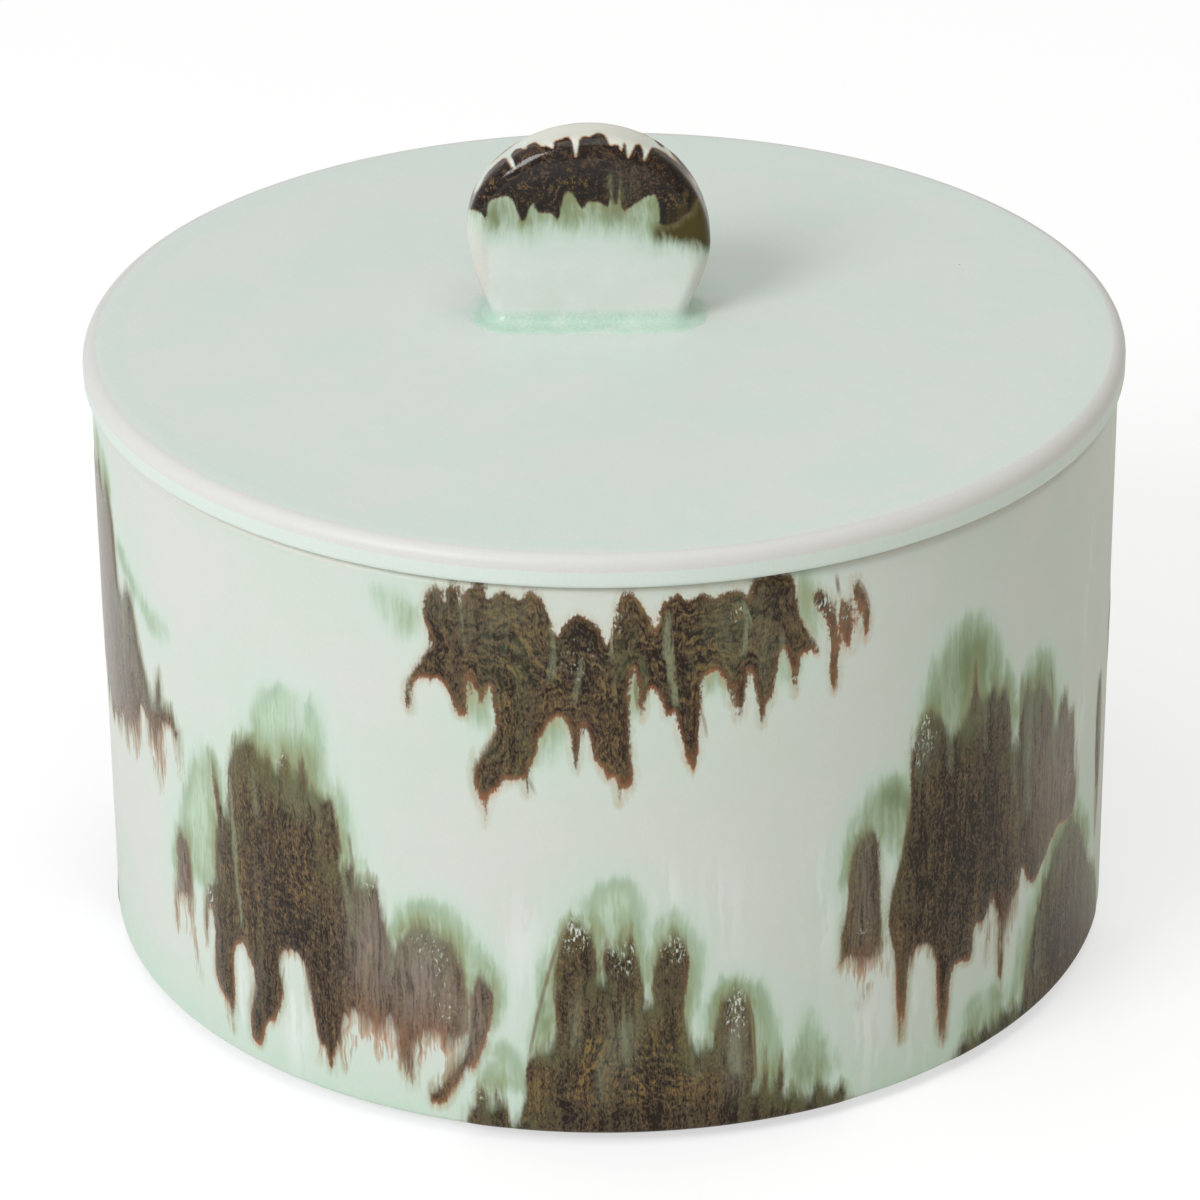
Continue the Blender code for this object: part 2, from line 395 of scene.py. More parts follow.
UNDER_RIM = Splash(centre=2.0, brown=(
    (-19.2, 98.4, -18.8, 100.3, -17.8, 101.3, -17.2, 100.8, -17, 98.8, -16.8, 100.9, -16.1, 102.4, -15.4, 101.4,
     -15.1, 98.6, -14.7, 100.8, -13.9, 102.4, -13.2, 102.5, -12.6, 102, -12.4, 100.2, -11.6, 100.6, -10.6, 101.7,
     -9.8, 100.7, -8.8, 100.5, -8, 101.9, -7.2, 101.2, -6.3, 99.4, -5.7, 97, -5.2, 94, -4.6, 96, -3, 98, -1.4, 96.5,
     -0.4, 94.5, 0.2, 92.5, 0.7, 97, 1.5, 101.2, 2.7, 101.7, 4, 98.5, 4.7, 96.4, 5, 95.5, 5.8, 99.5, 7.5, 101.3,
     8.6, 99.8, 10, 101.1, 11, 99.8, 12.5, 101, 14, 100.7, 14.8, 99.6, 15.3, 102.1, 17.5, 102.7, 19.7, 101.8, 20.2, 96,
     21, 93, 22, 90, 22.8, 87, 20.8, 87.5, 20.3, 84, 20, 80.5, 19.5, 85, 18.5, 89, 17.8, 84, 17.2, 79.7, 16.8, 80,
     16.3, 76, 15.7, 81, 14.9, 86, 14.6, 82, 14.4, 79.5, 13.7, 77.5, 13.4, 82, 13.1, 84, 12.8, 80.5, 12.4, 84.5,
     11.5, 86.5, 10.2, 86, 9.9, 82, 9.7, 76, 9.5, 71.5, 9, 69, 8.2, 71.2, 7.6, 75, 6.8, 79.5, 6.2, 79, 5.5, 82, 4.5, 84,
     4.1, 82, 3.5, 79, 3.2, 83, 2.7, 88, 2.3, 84, 2.3, 80, 2.4, 74, 2.7, 69, 2.3, 66.5, 1.7, 66, 1.3, 63.5, 1, 67.5,
     0.5, 68.5, 0, 68.2, -0.5, 70, -1.5, 72, -1.9, 75, -2.6, 78, -3, 73, -3.4, 69.5, -3.7, 73, -4, 77, -4.6, 79,
     -5.3, 79.5, -6.3, 77.5, -7, 75, -7.5, 72, -8.2, 69.5, -8.5, 65, -9, 67.5, -10, 67, -10.7, 67.5, -11.3, 65.5,
     -12.4, 63.8, -12.7, 61.5, -13, 58.5, -13.4, 61.5, -13.8, 64, -14.2, 66.5, -13.8, 71, -12.5, 74, -11.8, 77,
     -12, 80.5, -12.3, 84, -12.7, 82.5, -13.2, 80, -13.8, 83, -14.5, 86, -14.8, 82, -14.8, 79, -15.6, 78.2, -16.2, 79.8,
     -16.8, 82.5, -18, 84.2, -19.5, 84, -20.7, 82.4, -21, 78, -21.6, 79.5, -21.3, 83, -20.6, 85.5, -19.8, 88,
     -18.7, 90.5, -19, 93, -19.5, 96),
    (21.9, 98.4, 22.8, 98.9, 23.9, 96.8, 24.6, 93.6, 24.9, 89, 24.9, 84, 24.6, 79.8, 24.1, 81, 23.9, 85, 23.8, 89,
     23.3, 92.6, 22.6, 94.2, 22, 95.6),
    (25, 96, 26.2, 95, 26.5, 90, 25.9, 87, 25.1, 90),
    (26.4, 99.5, 27.4, 98, 28.3, 94.5, 28.6, 91, 28.2, 88, 27.6, 92, 27, 95, 26.8, 90, 26.5, 86, 26.2, 91, 26.5, 95),
), green=(
    (-14.8, 87.5, -13.4, 88.6, -12.2, 85, -12.2, 80, -13.2, 76.5, -14.2, 78, -14.8, 82),
    (-24.5, 98, -22.5, 99, -20, 97, -20, 92, -22, 92),
    (-8.4, 77.5, -6, 80.4, -4.2, 79.2, -5.2, 74, -6.6, 70.5, -8, 71),
    (2.2, 90, 4.4, 88, 4.8, 84, 3.6, 80.5, 2.4, 81.5),
    (9.2, 87, 11, 88.8, 13.4, 87.5, 13.2, 84, 11.4, 83, 9.8, 83),
    (18.4, 90, 20.6, 89.5, 20.6, 85, 19, 84),
    (20, 101, 22, 100.4, 22.9, 96, 22.4, 91, 20.6, 91),
), ovals={
    Mark.OCHRE: ((-10.5, 76, 3.5, 11, 0.55), (-8, 90, 5, 8, 0.35), (8, 84, 4, 10, 0.5), (0.5, 78, 2.5, 10, 0.4)),
    Mark.MAUVE: ((26, 93, 3.5, 8, 0.35),),
    Mark.GLINT: ((23, 96, 1.2, 2.6, 1.0), (25.8, 95, 1.0, 3, 0.6), (1.0, 97, 0.7, 2.5, 0.9), (-3, 90, 2.5, 6, 0.25),
        (13.6, 97, 1.0, 2, 0.6)),
    Mark.MOSS: ((-10.5, 90, 2.2, 9, 0.5), (-9.5, 70, 2, 6, 0.35), (3.5, 88, 3, 6, 0.6), (13.5, 92, 4, 9, 0.35)),
    Mark.DARK: ((-18, 87, 2.5, 5, 0.7), (-12.3, 88, 1.6, 8, 0.5), (-2.5, 94, 2, 3, 0.6), (8.6, 76, 1.2, 7, 0.8),
        (1, 88, 24, 20, 0.3), (18, 99, 3, 4, 0.6)),
    Mark.CRISP: ((2, 98, 48, 34, 1.0),),
    Mark.VEIL: ((-12.5, 97, 5, 7, 0.3), (-18, 99, 2, 3, 0.6), (12.5, 95, 2, 7, 0.25), (16.6, 92, 1.4, 9, 0.45)),
    Mark.RUST: ((-13, 62, 2, 5, 0.7), (1.5, 68, 2, 5, 0.5), (9, 72, 1.5, 5, 0.5), (26.6, 89, 3, 8, 0.7)),
}, seams=(
    ((-15.1, 101.5, -15.1, 97, -14.9, 92.5, -14.6, 89), 0.5, 0.6),
    ((-13, 86, -12.8, 82, -12.9, 78), 0.5, 0.5),
    ((-5.7, 97.5, -5.5, 93, -5.6, 88.5, -5.9, 85), 0.5, 0.6),
    ((-2.7, 91, -2.6, 88.5, -3, 85.5, -3.4, 81), 0.45, 0.6),
    ((0.3, 97.5, 0.5, 93.5, 0.6, 89), 0.45, 0.8),
    ((6.4, 98.6, 6.1, 95.5, 6.3, 90.5, 6.8, 85, 7.3, 80), 0.5, 0.9),
    ((13, 97, 13.8, 98.9, 14.6, 96.5, 14.5, 92, 14, 88), 0.6, 0.85),
    ((18.4, 94, 18.4, 90, 18.2, 85.5), 0.5, 0.5),
), lines=(
    ((-21.1, 82.5, -21.1, 80, -21.1, 77.5), 0.3, 0.7),
    ((-8.6, 69, -8, 66.5, -7.4, 64.2), 0.4, 0.5),
    ((3.1, 88, 3, 84, 3.4, 79.5), 0.45, 0.8),
    ((9.4, 81, 10.1, 78, 10.5, 74), 0.35, 0.5),
    ((24.5, 101.6, 24.7, 99, 25, 96), 0.4, 0.8),
    ((26.8, 99.5, 27.8, 97, 28.4, 93.5, 28, 90.5, 27.2, 89), 0.4, 0.7),
))

LEFT_FAN = Splash(centre=-37.0, brown=(
    (-48.2, 57, -47.5, 52, -46.4, 47.5, -46, 50, -45.9, 55, -45.2, 58.5, -44, 62, -42, 64.4, -40.4, 61.6, -39.3, 62.2,
     -38.2, 60.8, -37, 64, -35.8, 60.4, -34.5, 64.5, -33.6, 59.3, -32, 58.6, -30.6, 57.9, -30, 52, -29.6, 46.3,
     -28.6, 48, -27.6, 44, -25.5, 44.5, -24.6, 38, -23.4, 31, -22.8, 22, -23.4, 15, -24.6, 10.5, -25.5, 13, -26, 9.5,
     -26.8, 13.5, -28.4, 12.5, -29.3, 16, -29.8, 12, -30.1, 6, -30.9, 9.5, -32, 4, -33, 8.5, -33.9, 5.5, -34.2, 12,
     -34.8, 18, -35.6, 23, -37, 25.2, -38.3, 23, -38.4, 17, -39.5, 11, -41, 8.5, -42.2, 4.2, -43.5, 4.6, -43.7, 10,
     -42.9, 16, -43.2, 20, -44.6, 22.7, -45.9, 20, -46, 14, -46.1, 8, -46.9, 3.8, -47.6, 9, -48.7, 11, -49.5, 14,
     -49.4, 20, -49.3, 24, -49.9, 26.5, -50.4, 22, -50.8, 18.5, -51, 24, -50.5, 29, -49.5, 32.5, -48.7, 34, -48.4, 40,
     -47.9, 46, -48.5, 52),
    (-25.2, 27, -23.6, 33.5, -22, 36.8, -19.7, 38.2, -18.5, 36.8, -17.3, 36, -16, 32, -15.5, 27, -15.2, 21, -16, 16,
     -17.5, 13.5, -19.3, 14, -20.5, 12.5, -21.2, 9, -22, 5, -23.2, 9, -25, 13, -25.6, 20),
    (-14.6, 29.6, -13.5, 30.4, -12.5, 27, -12.8, 21, -13.8, 15.5, -14.8, 11.5, -15.9, 9, -17.2, 6.5, -18.4, 3.4,
     -19.8, 3.2, -20, 6, -18.4, 10, -16.9, 14, -15.7, 19, -15.2, 25),
    (-55.8, 38, -54, 37, -53.3, 32, -53, 26, -52.7, 18, -52.4, 10, -53.2, 15, -54, 21, -54.6, 18.5, -55.4, 24.5,
     -57.2, 17.5, -57.3, 24, -56.4, 30),
), green=(
    (-43.5, 60, -42, 67, -39.8, 73.3, -37, 75.8, -35.2, 75, -34.2, 71, -33, 75.4, -32.2, 72, -31, 62.5, -29.4, 58.5,
     -28.2, 52, -28, 44, -31, 40, -37, 50, -43, 44),
    (-46, 44, -46.6, 52, -48, 57, -49.5, 57.8, -52, 52.5, -54, 45, -55.7, 36, -57, 30, -54, 29, -50, 31, -47, 36),
    (-24.5, 34, -22.5, 40, -19.5, 42, -16, 40, -13.5, 34, -11.6, 30, -11.5, 24, -14, 20, -18, 28),
), ovals={
    Mark.OCHRE: ((-36, 38, 5.5, 12, 0.8), (-42, 34, 3, 10, 0.35)),
    Mark.MAUVE: ((-27, 32, 2.8, 15, 0.85), (-20.5, 28, 4.5, 13, 1.0), (-14.5, 20, 3, 11, 0.7),
        (-54.8, 26, 2.5, 12, 0.9), (-50.5, 26, 1.5, 8, 0.5)),
    Mark.GLINT: ((-19.5, 33, 3.2, 6, 0.34), (-18.0, 22, 1.6, 7, 0.3), (-26.4, 43, 1.6, 3, 0.4),
        (-49.7, 28.5, 0.8, 2.5, 1.0), (-37.6, 62.5, 1.2, 2, 0.5)),
    Mark.MOSS: ((-34, 62, 3, 5, 0.4), (-38, 55, 6, 4, 0.4)),
    Mark.DARK: ((-36.5, 28.5, 2.2, 3.5, 1.0), (-37, 38, 8, 20, 0.45), (-47.5, 15, 1.6, 9, 0.5), (-42, 14, 2.5, 9, 0.6),
        (-32, 14, 2.5, 11, 0.8), (-23, 14, 2.5, 6, 0.7)),
    Mark.RUN: ((-36.8, 12, 1.6, 10, 0.8), (-44.7, 12, 1.2, 9, 0.8), (-49, 42, 1.6, 10, 0.5), (-9, 32, 3, 12, 0.7)),
    Mark.FADE: ((-27.4, 13, 2.8, 7, 0.9), (-19.4, 14, 2.8, 6, 0.9), (-24.2, 14, 1.6, 5, 0.6), (-55, 18, 3.2, 7, 0.8),
        (-36.8, 22, 2, 3.5, 0.5), (-47.6, 6, 1.4, 3, 0.3), (-34, 8, 0.9, 3, 0.4), (-30.2, 9, 0.9, 4, 0.5)),
    Mark.VEIL: ((-20, 34, 3, 6, 0.5), (-27, 40, 1.6, 6, 0.4), (-33, 56, 4, 5, 0.35)),
    Mark.RUST: ((-47.6, 13, 2.6, 9, 0.8), (-42, 10, 3, 9, 0.7), (-33, 11, 3.2, 9, 0.7), (-26, 13, 5, 5, 0.7),
        (-18, 9, 5, 7, 0.6), (-54.6, 22, 3, 10, 0.7)),
}, seams=(
    ((-48.6, 44, -48.8, 38, -49.4, 33), 0.6, 0.5),
    ((-45.3, 56, -45.2, 50, -44.9, 42, -44.8, 36, -44.5, 30, -44.3, 25), 0.5, 0.85),
    ((-41.6, 60, -41.5, 55, -41.3, 48), 0.7, 0.45),
    ((-30.2, 50, -29.7, 44, -29, 38, -28.6, 31), 0.5, 0.55),
    ((-24.4, 38, -24.2, 33, -24, 26), 0.6, 0.5),
    ((-15.6, 28, -15.6, 22, -16.6, 15), 0.5, 0.5),
), lines=(
    ((-55.4, 40, -55.5, 34, -55, 28), 0.5, 0.5),
    ((-48.3, 57, -48, 52, -47.2, 47.5), 0.45, 0.8),
    ((-39.3, 63, -39.3, 56, -39.2, 46, -39.3, 36, -39.4, 29), 0.4, 0.6),
    ((-34.5, 65, -34.4, 61, -34.3, 56), 0.35, 0.9),
    ((-28.9, 53, -28.6, 48, -28.3, 43.5), 0.4, 0.7),
))

FRONT_FAN = Splash(centre=3.0, brown=(
    (-11, -3, -10, 4, -9.2, 9, -9, 15, -6.6, 18, -5.8, 22, -6.2, 27, -5.8, 33, -5, 39, -4.1, 41.6, -3.2, 42.2, -2, 40,
     -1.3, 35, -1, 31.5, -0.7, 36, -0.3, 39.4, 0.3, 37.2, 0.9, 38.6, 1.6, 36.5, 2.3, 39.4, 3, 35, 4.2, 26.5, 4.8, 33,
     5.6, 37.2, 7, 38.7, 8.2, 37, 8.6, 33, 8.1, 27, 8, 22, 9, 18, 10.5, 17.5, 11.5, 22, 12, 25.5, 13.5, 27.2, 14.8, 25,
     15.4, 20, 15.6, 15, 15.9, 8, 16.9, 10.6, 17.6, 7, 18.8, 12, 19.3, 6, 20, 6.6, 21.5, 4.5, 23, 7, 24.5, 4, 26, 4.8,
     26.8, 1.5, 27, -3, 8, -4),
    (-15.8, -3, -15.6, 3, -14.8, 6, -14, 8.4, -13, 5.5, -12.4, 8.6, -11.5, 6, -10.8, 3, -10.4, -3),
), green=(
    (-8.8, 16, -7.6, 25, -6.6, 33, -4.6, 40.5, -2.4, 45.6, 0.4, 48.8, 2.4, 47.4, 3.4, 43, 3.7, 37, 4.6, 30, 2, 26,
     -4, 22),
    (5, 39, 6.4, 42.4, 8.4, 41, 9.6, 35, 9.4, 26, 8, 20, 6, 28),
    (10, 22, 11.4, 27.5, 12.7, 29.4, 15, 28.4, 17, 24.4, 18.6, 15, 18.6, 8, 14, 6, 10, 12),
    (19.6, 8, 20.8, 16, 22, 20.4, 23.6, 15, 24.8, 8, 22, 5),
    (-14, 8, -12.8, 14, -11, 17, -9.4, 14, -9, 8),
), ovals={
    Mark.OCHRE: ((4, 12, 7, 9, 0.85), (-2.4, 19, 2, 6, 0.8), (-5, 8, 3, 7, 0.5)),
    Mark.MAUVE: ((13.6, 17, 1.0, 8, 0.75),),
    Mark.GLINT: ((-3.4, 39.5, 1.7, 3.5, 1.0), (7.2, 36.5, 1.7, 3.5, 1.0), (13.6, 22, 1.4, 5, 0.8),
        (22.4, 7.5, 2.2, 1.8, 0.6), (-14.4, 7, 1.6, 3, 0.6), (1.6, 35, 1.8, 4, 0.6), (14, 26, 1.4, 3, 0.9)),
    Mark.MOSS: ((-7, 24, 2, 8, 0.7), (12, 24, 5, 6, 0.6), (21, 10, 3, 7, 0.6), (1.4, 20, 1.6, 5, 0.6)),
    Mark.DARK: ((0, 33, 6, 5, 0.45), (2, 3, 11, 4, 0.9), (4.6, 14, 2.4, 5, 0.7), (14, 4, 5, 4, 0.6), (22, 3, 5, 3, 0.8),
        (-13, 4, 2.4, 3.5, 0.8), (-6, 21, 1.4, 5, 0.5)),
    Mark.RUN: ((6.4, 44, 1.4, 7, 0.8), (22.5, 13, 2.2, 6, 0.7), (-10.2, 9, 1.0, 6, 0.8), (23.6, 40, 2.4, 12, 0.7),
        (29, 14, 3, 12, 0.6), (36, 12, 2, 12, 0.7), (12, 42, 3, 10, 0.4)),
    Mark.VEIL: ((1.3, 19, 1.8, 7, 0.85), (-3.7, 22, 0.9, 6, 0.5), (13.6, 13, 1.6, 7, 0.9), (-0.9, 12, 0.8, 6, 0.5),
        (9.4, 14, 0.9, 5, 0.5)),
}, seams=(
    ((-5.6, 31, -6.4, 25, -6.6, 19), 0.7, 0.7),
    ((-3.2, 28, -3.7, 22, -4, 16), 0.5, 0.55),
    ((-1, 38, -0.9, 34, -0.5, 30), 0.5, 0.7),
    ((-0.8, 17, -1.2, 12, -0.8, 6), 0.5, 0.45),
    ((1.2, 23, 1.6, 18, 1.8, 13), 0.8, 0.5),
    ((4.2, 34, 4.1, 29, 4.6, 24), 0.6, 0.7),
    ((13.4, 20, 13.5, 15, 13.9, 9), 1.0, 0.7),
), lines=(
    ((-4.6, 40.5, -5.8, 35, -7, 28, -8, 21, -8.8, 14), 0.4, 0.7),
    ((-0.2, 39.5, -0.3, 36, -0.5, 32), 0.4, 0.8),
    ((2.2, 39.5, 2.4, 36, 2.6, 32), 0.4, 0.8),
    ((8, 37, 8.2, 32, 7.8, 26), 0.4, 0.7),
    ((12.6, 27, 12.2, 23, 12.4, 18), 0.4, 0.6),
    ((14.5, 26.5, 15.4, 21, 15.7, 14, 15.9, 8), 0.4, 0.9),
    ((17, 16, 16.9, 11, 17.2, 6), 0.4, 0.5),
    ((18.9, 15, 18.8, 10, 19, 6), 0.4, 0.6),
))

RIGHT_FAN = Splash(centre=46.0, brown=(
    (34.1, 62, 34.6, 67, 36.5, 70.8, 38.4, 69, 39.5, 66.4, 41, 66, 42, 67, 42.7, 71, 43.2, 77, 43.7, 70.5, 44.6, 69,
     46.3, 70.8, 47.2, 68.4, 48, 69.4, 49.3, 65, 49.9, 58, 50.6, 57, 51.2, 62, 52.5, 66.3, 53.8, 64.5, 55.4, 65.4,
     57.9, 60.5, 59, 55, 60, 57, 61.5, 59, 62.8, 54, 64, 54.2, 64.4, 50, 65.2, 45, 66.2, 38, 65.2, 33, 63, 32.6, 60, 33,
     58, 30, 55, 26, 53.4, 28, 52.6, 30.5, 51.7, 26, 50.7, 20, 49.4, 14, 48.8, 9, 48.4, 15, 47.9, 22, 46.9, 29,
     46.6, 22, 46.4, 16, 45.8, 21, 45, 24.5, 44, 25, 43.7, 19, 41.5, 19.5, 40.6, 17, 40.3, 11, 40.1, 6.5, 39.5, 4.8,
     38.9, 6.6, 38.6, 11, 38.4, 17, 38, 22, 36.2, 25, 34.6, 22, 34.1, 15, 33.9, 9.6, 33.4, 8.6, 32.9, 10.4, 32.8, 16,
     32.6, 22, 32.2, 26, 31.7, 30, 31.5, 35, 32.3, 42, 33.4, 48, 34.1, 55),
    (27.2, 50, 28.5, 52.5, 30, 51.4, 30.4, 44, 30.6, 36, 31.1, 28, 31.3, 23.4, 30.4, 26, 29.6, 23, 28.5, 17.5, 27.9, 24,
     27, 24.6, 26.4, 28, 25.1, 26.6, 25.5, 31, 25.8, 35, 26.3, 40, 26.7, 46),
    (73.4, 44, 74.4, 52, 76, 50, 77, 40, 76.6, 28, 75.6, 19, 74.4, 25, 73.8, 35),
), green=(
    (35.6, 69, 37.3, 79, 39.4, 83.8, 41.6, 85.2, 44.2, 83.8, 46.6, 79, 48, 73, 50, 66, 48, 58, 42, 60, 36, 60),
    (25.4, 42, 26.2, 49, 27.4, 54.6, 29, 59, 31, 60.8, 33, 59.6, 34.8, 56, 35.4, 50, 34, 45, 32.2, 46, 30.6, 50, 29, 50,
     27, 45),
    (49.8, 62, 52, 69, 54.5, 70.8, 57.1, 69, 58.8, 63, 60, 57, 55, 56),
), ovals={
    Mark.OCHRE: ((42, 36, 6, 12, 0.35),),
    Mark.MAUVE: ((57, 48, 4, 18, 0.65), (62.5, 44, 4, 14, 0.8), (28.4, 38, 2.2, 12, 0.55)),
    Mark.GLINT: ((62.6, 41, 1.2, 4, 0.5), (36, 68, 2, 3, 0.5), (52.3, 28, 1, 3, 0.5), (28.2, 33, 1.6, 4, 0.3),
        (35.4, 65, 1.6, 5, 0.6)),
    Mark.MOSS: ((42, 76, 6, 10, 0.8), (54.5, 63, 5, 7, 0.7), (31.8, 57, 3, 4, 0.8), (34.2, 55, 1.2, 4, 0.6),
        (27.6, 55, 1.4, 4, 0.4)),
    Mark.DARK: ((42, 46, 8, 22, 0.9), (40, 24, 3, 10, 0.5), (49, 28, 4, 9, 0.4), (63, 44, 4, 12, 0.6),
        (28, 36, 2, 8, 0.5)),
    Mark.RUN: ((31, 52, 1.6, 5, 0.6), (32.2, 40, 1.0, 9, 1.0), (66.5, 50, 1.4, 6, 0.8), (67.5, 75, 1.2, 14, 0.5)),
    Mark.FADE: ((33.4, 11, 1.2, 4, 0.12), (39.6, 7, 1.2, 4, 0.12), (75, 24, 3, 8, 0.4), (28.6, 25, 3, 4.5, 0.7),
        (36, 24.5, 2, 3, 0.35), (50.5, 22, 2, 6, 0.5), (46.2, 22, 1.4, 4, 0.4), (65.4, 42, 1.4, 5, 0.5)),
    Mark.VEIL: ((75, 46, 2.6, 10, 0.7), (35.4, 64, 1.5, 6, 0.7), (52.4, 57, 2.4, 13, 0.8), (58.6, 54, 1.8, 10, 0.7),
        (55, 64, 4, 5, 0.6), (44, 66, 6, 4, 0.4), (28.6, 50, 1.8, 5, 0.7)),
    Mark.RUST: ((33.4, 14, 2, 9, 1.0), (39.6, 13, 2.4, 9, 1.0), (28.6, 24, 3.4, 6, 0.9), (50, 20, 4, 9, 0.6)),
}, seams=(
    ((39.4, 67, 39.5, 62, 39.9, 56), 0.6, 0.5),
    ((44.9, 69, 44.8, 64, 45.2, 57), 0.5, 0.45),
    ((49.9, 60, 50.2, 52, 50.6, 45), 0.9, 0.55),
    ((53.2, 64, 53, 57, 53, 48, 53.4, 40), 0.9, 0.6),
    ((58.8, 58, 58.6, 51, 58.8, 44), 0.7, 0.45),
    ((51.8, 31, 51.6, 26, 50.6, 20, 49.8, 15), 0.45, 0.7),
), lines=(
    ((34, 57, 34, 52, 33.4, 46), 0.5, 0.5),
    ((43.1, 77, 43.3, 73, 43.8, 68), 0.4, 0.95),
    ((51.4, 70, 51.4, 63, 51.6, 56), 0.7, 0.5),
    ((57.4, 67, 58, 61, 57.9, 54), 0.45, 0.6),
))

LOW_RIGHT_FAN = Splash(centre=62.0, brown=(
    (53.6, -3, 53.6, 6, 54.2, 12, 55.2, 18, 57, 24, 59, 28, 60.6, 30.2, 62, 30.8, 63.8, 32.4, 66, 30.4, 68, 27.4,
     70, 22, 73, 16, 76, 12, 78, 6, 79, -3, 66, -4),
    (41.6, -3, 41.6, 2, 43, 4.8, 44.6, 3.4, 46, 5.4, 48, 4, 50, 5.6, 52, 3.4, 54, 5, 54, -3),
), green=(
    (50.8, 4, 52, 12, 54, 22, 57, 28.4, 60.5, 34.2, 64, 36, 68, 31.4, 72, 22, 66, 14, 57, 10),
    (42, 6, 44, 10.4, 47.4, 10.6, 50, 7, 47, 2),
), ovals={
    Mark.OCHRE: ((60, 12, 5, 10, 0.35),),
    Mark.MAUVE: ((67, 17, 8, 14, 0.35),),
    Mark.MOSS: ((60, 32, 4, 5, 0.5),),
    Mark.DARK: ((64, 12, 12, 12, 1.0), (48, 2, 6, 4, 1.0)),
    Mark.VEIL: ((54.6, 13, 2.8, 10, 0.9), (60, 27, 5, 4, 0.6), (55.6, 14, 1.2, 8, 0.5)),
}, seams=(
    ((54.6, 18, 54.4, 13, 54, 8), 0.9, 0.7),
))

FAR_LEFT_FAN = Splash(centre=-70.0, brown=(
    (-84, 88, -82, 93, -79.5, 91, -77, 95, -75, 90, -73, 92.5, -71, 88, -70.2, 83, -69.5, 76, -68, 74, -66.6, 77,
     -65.3, 76.4, -64, 71, -62, 64, -60.6, 60, -59.6, 62, -58.6, 66.4, -57.8, 61, -56, 61, -54.7, 58.5, -54.2, 57,
     -54.5, 52, -54.9, 47.5, -55.6, 54, -56.5, 57, -57.8, 55, -58.3, 49, -59, 45, -59.9, 42, -60.7, 48, -61.7, 50,
     -62.2, 54, -63.5, 55.4, -64.1, 50, -65, 47, -66, 44.5, -67.4, 48, -68.9, 43.5, -70.6, 47.5, -72.6, 44, -74, 47,
     -76.4, 43, -78, 48.5, -79.6, 44, -81, 50, -82.4, 49, -83.4, 56, -84.6, 62, -84.2, 70, -85.2, 76, -84.8, 83),
), green=(
    (-69.4, 82.4, -67.8, 83.6, -65.4, 80.8, -62.8, 79, -60.4, 76.4, -58, 77, -56.6, 75, -57.6, 72.6, -60.2, 73.8,
     -62.6, 75.8, -65, 78, -67.6, 80),
    (-84.6, 82, -83.6, 92, -80, 97, -76.6, 98.6, -73.4, 97, -71, 92, -75, 86),
), ovals={
    Mark.OCHRE: ((-80, 66, 6, 12, 0.5),),
    Mark.MAUVE: ((-66, 66, 9, 14, 0.25), (-78, 68, 8, 20, 0.2)),
    Mark.DARK: ((-70, 58, 14, 16, 0.5),),
    Mark.FADE: ((-65, 48, 8, 6, 0.5), (-57.5, 50, 5, 7, 0.45)),
    Mark.VEIL: ((-67, 72, 4, 8, 0.5),),
    Mark.RUST: ((-61, 50, 8, 8, 0.8),),
}, seams=(
    ((-67.8, 74, -68, 66, -68, 56), 0.6, 0.4),
    ((-62.2, 64, -62.4, 58, -62.2, 52), 0.6, 0.4),
))

DRAWN_SPLASHES = (UNDER_RIM, LEFT_FAN, FRONT_FAN, RIGHT_FAN, LOW_RIGHT_FAN, FAR_LEFT_FAN)
BACK_SPLASHES = (
    UNDER_RIM.mirrored(150.0, 0.0, 1.0),
    LEFT_FAN.mirrored(116.0, 0.0, 1.04),
    RIGHT_FAN.mirrored(-133.0, -3.0, 1.0),
    FRONT_FAN.mirrored(172.0, 0.0, 1.1),
    FAR_LEFT_FAN.mirrored(96.0, 2.0, 0.95),
    FAR_LEFT_FAN.mirrored(-166.0, -14.0, 1.05),
    FRONT_FAN.mirrored(-98.0, 0.0, 0.85),
)

# Places across are mm from the knob's middle, and heights are mm above the lid, as seen along the view
# from the front and a little above.

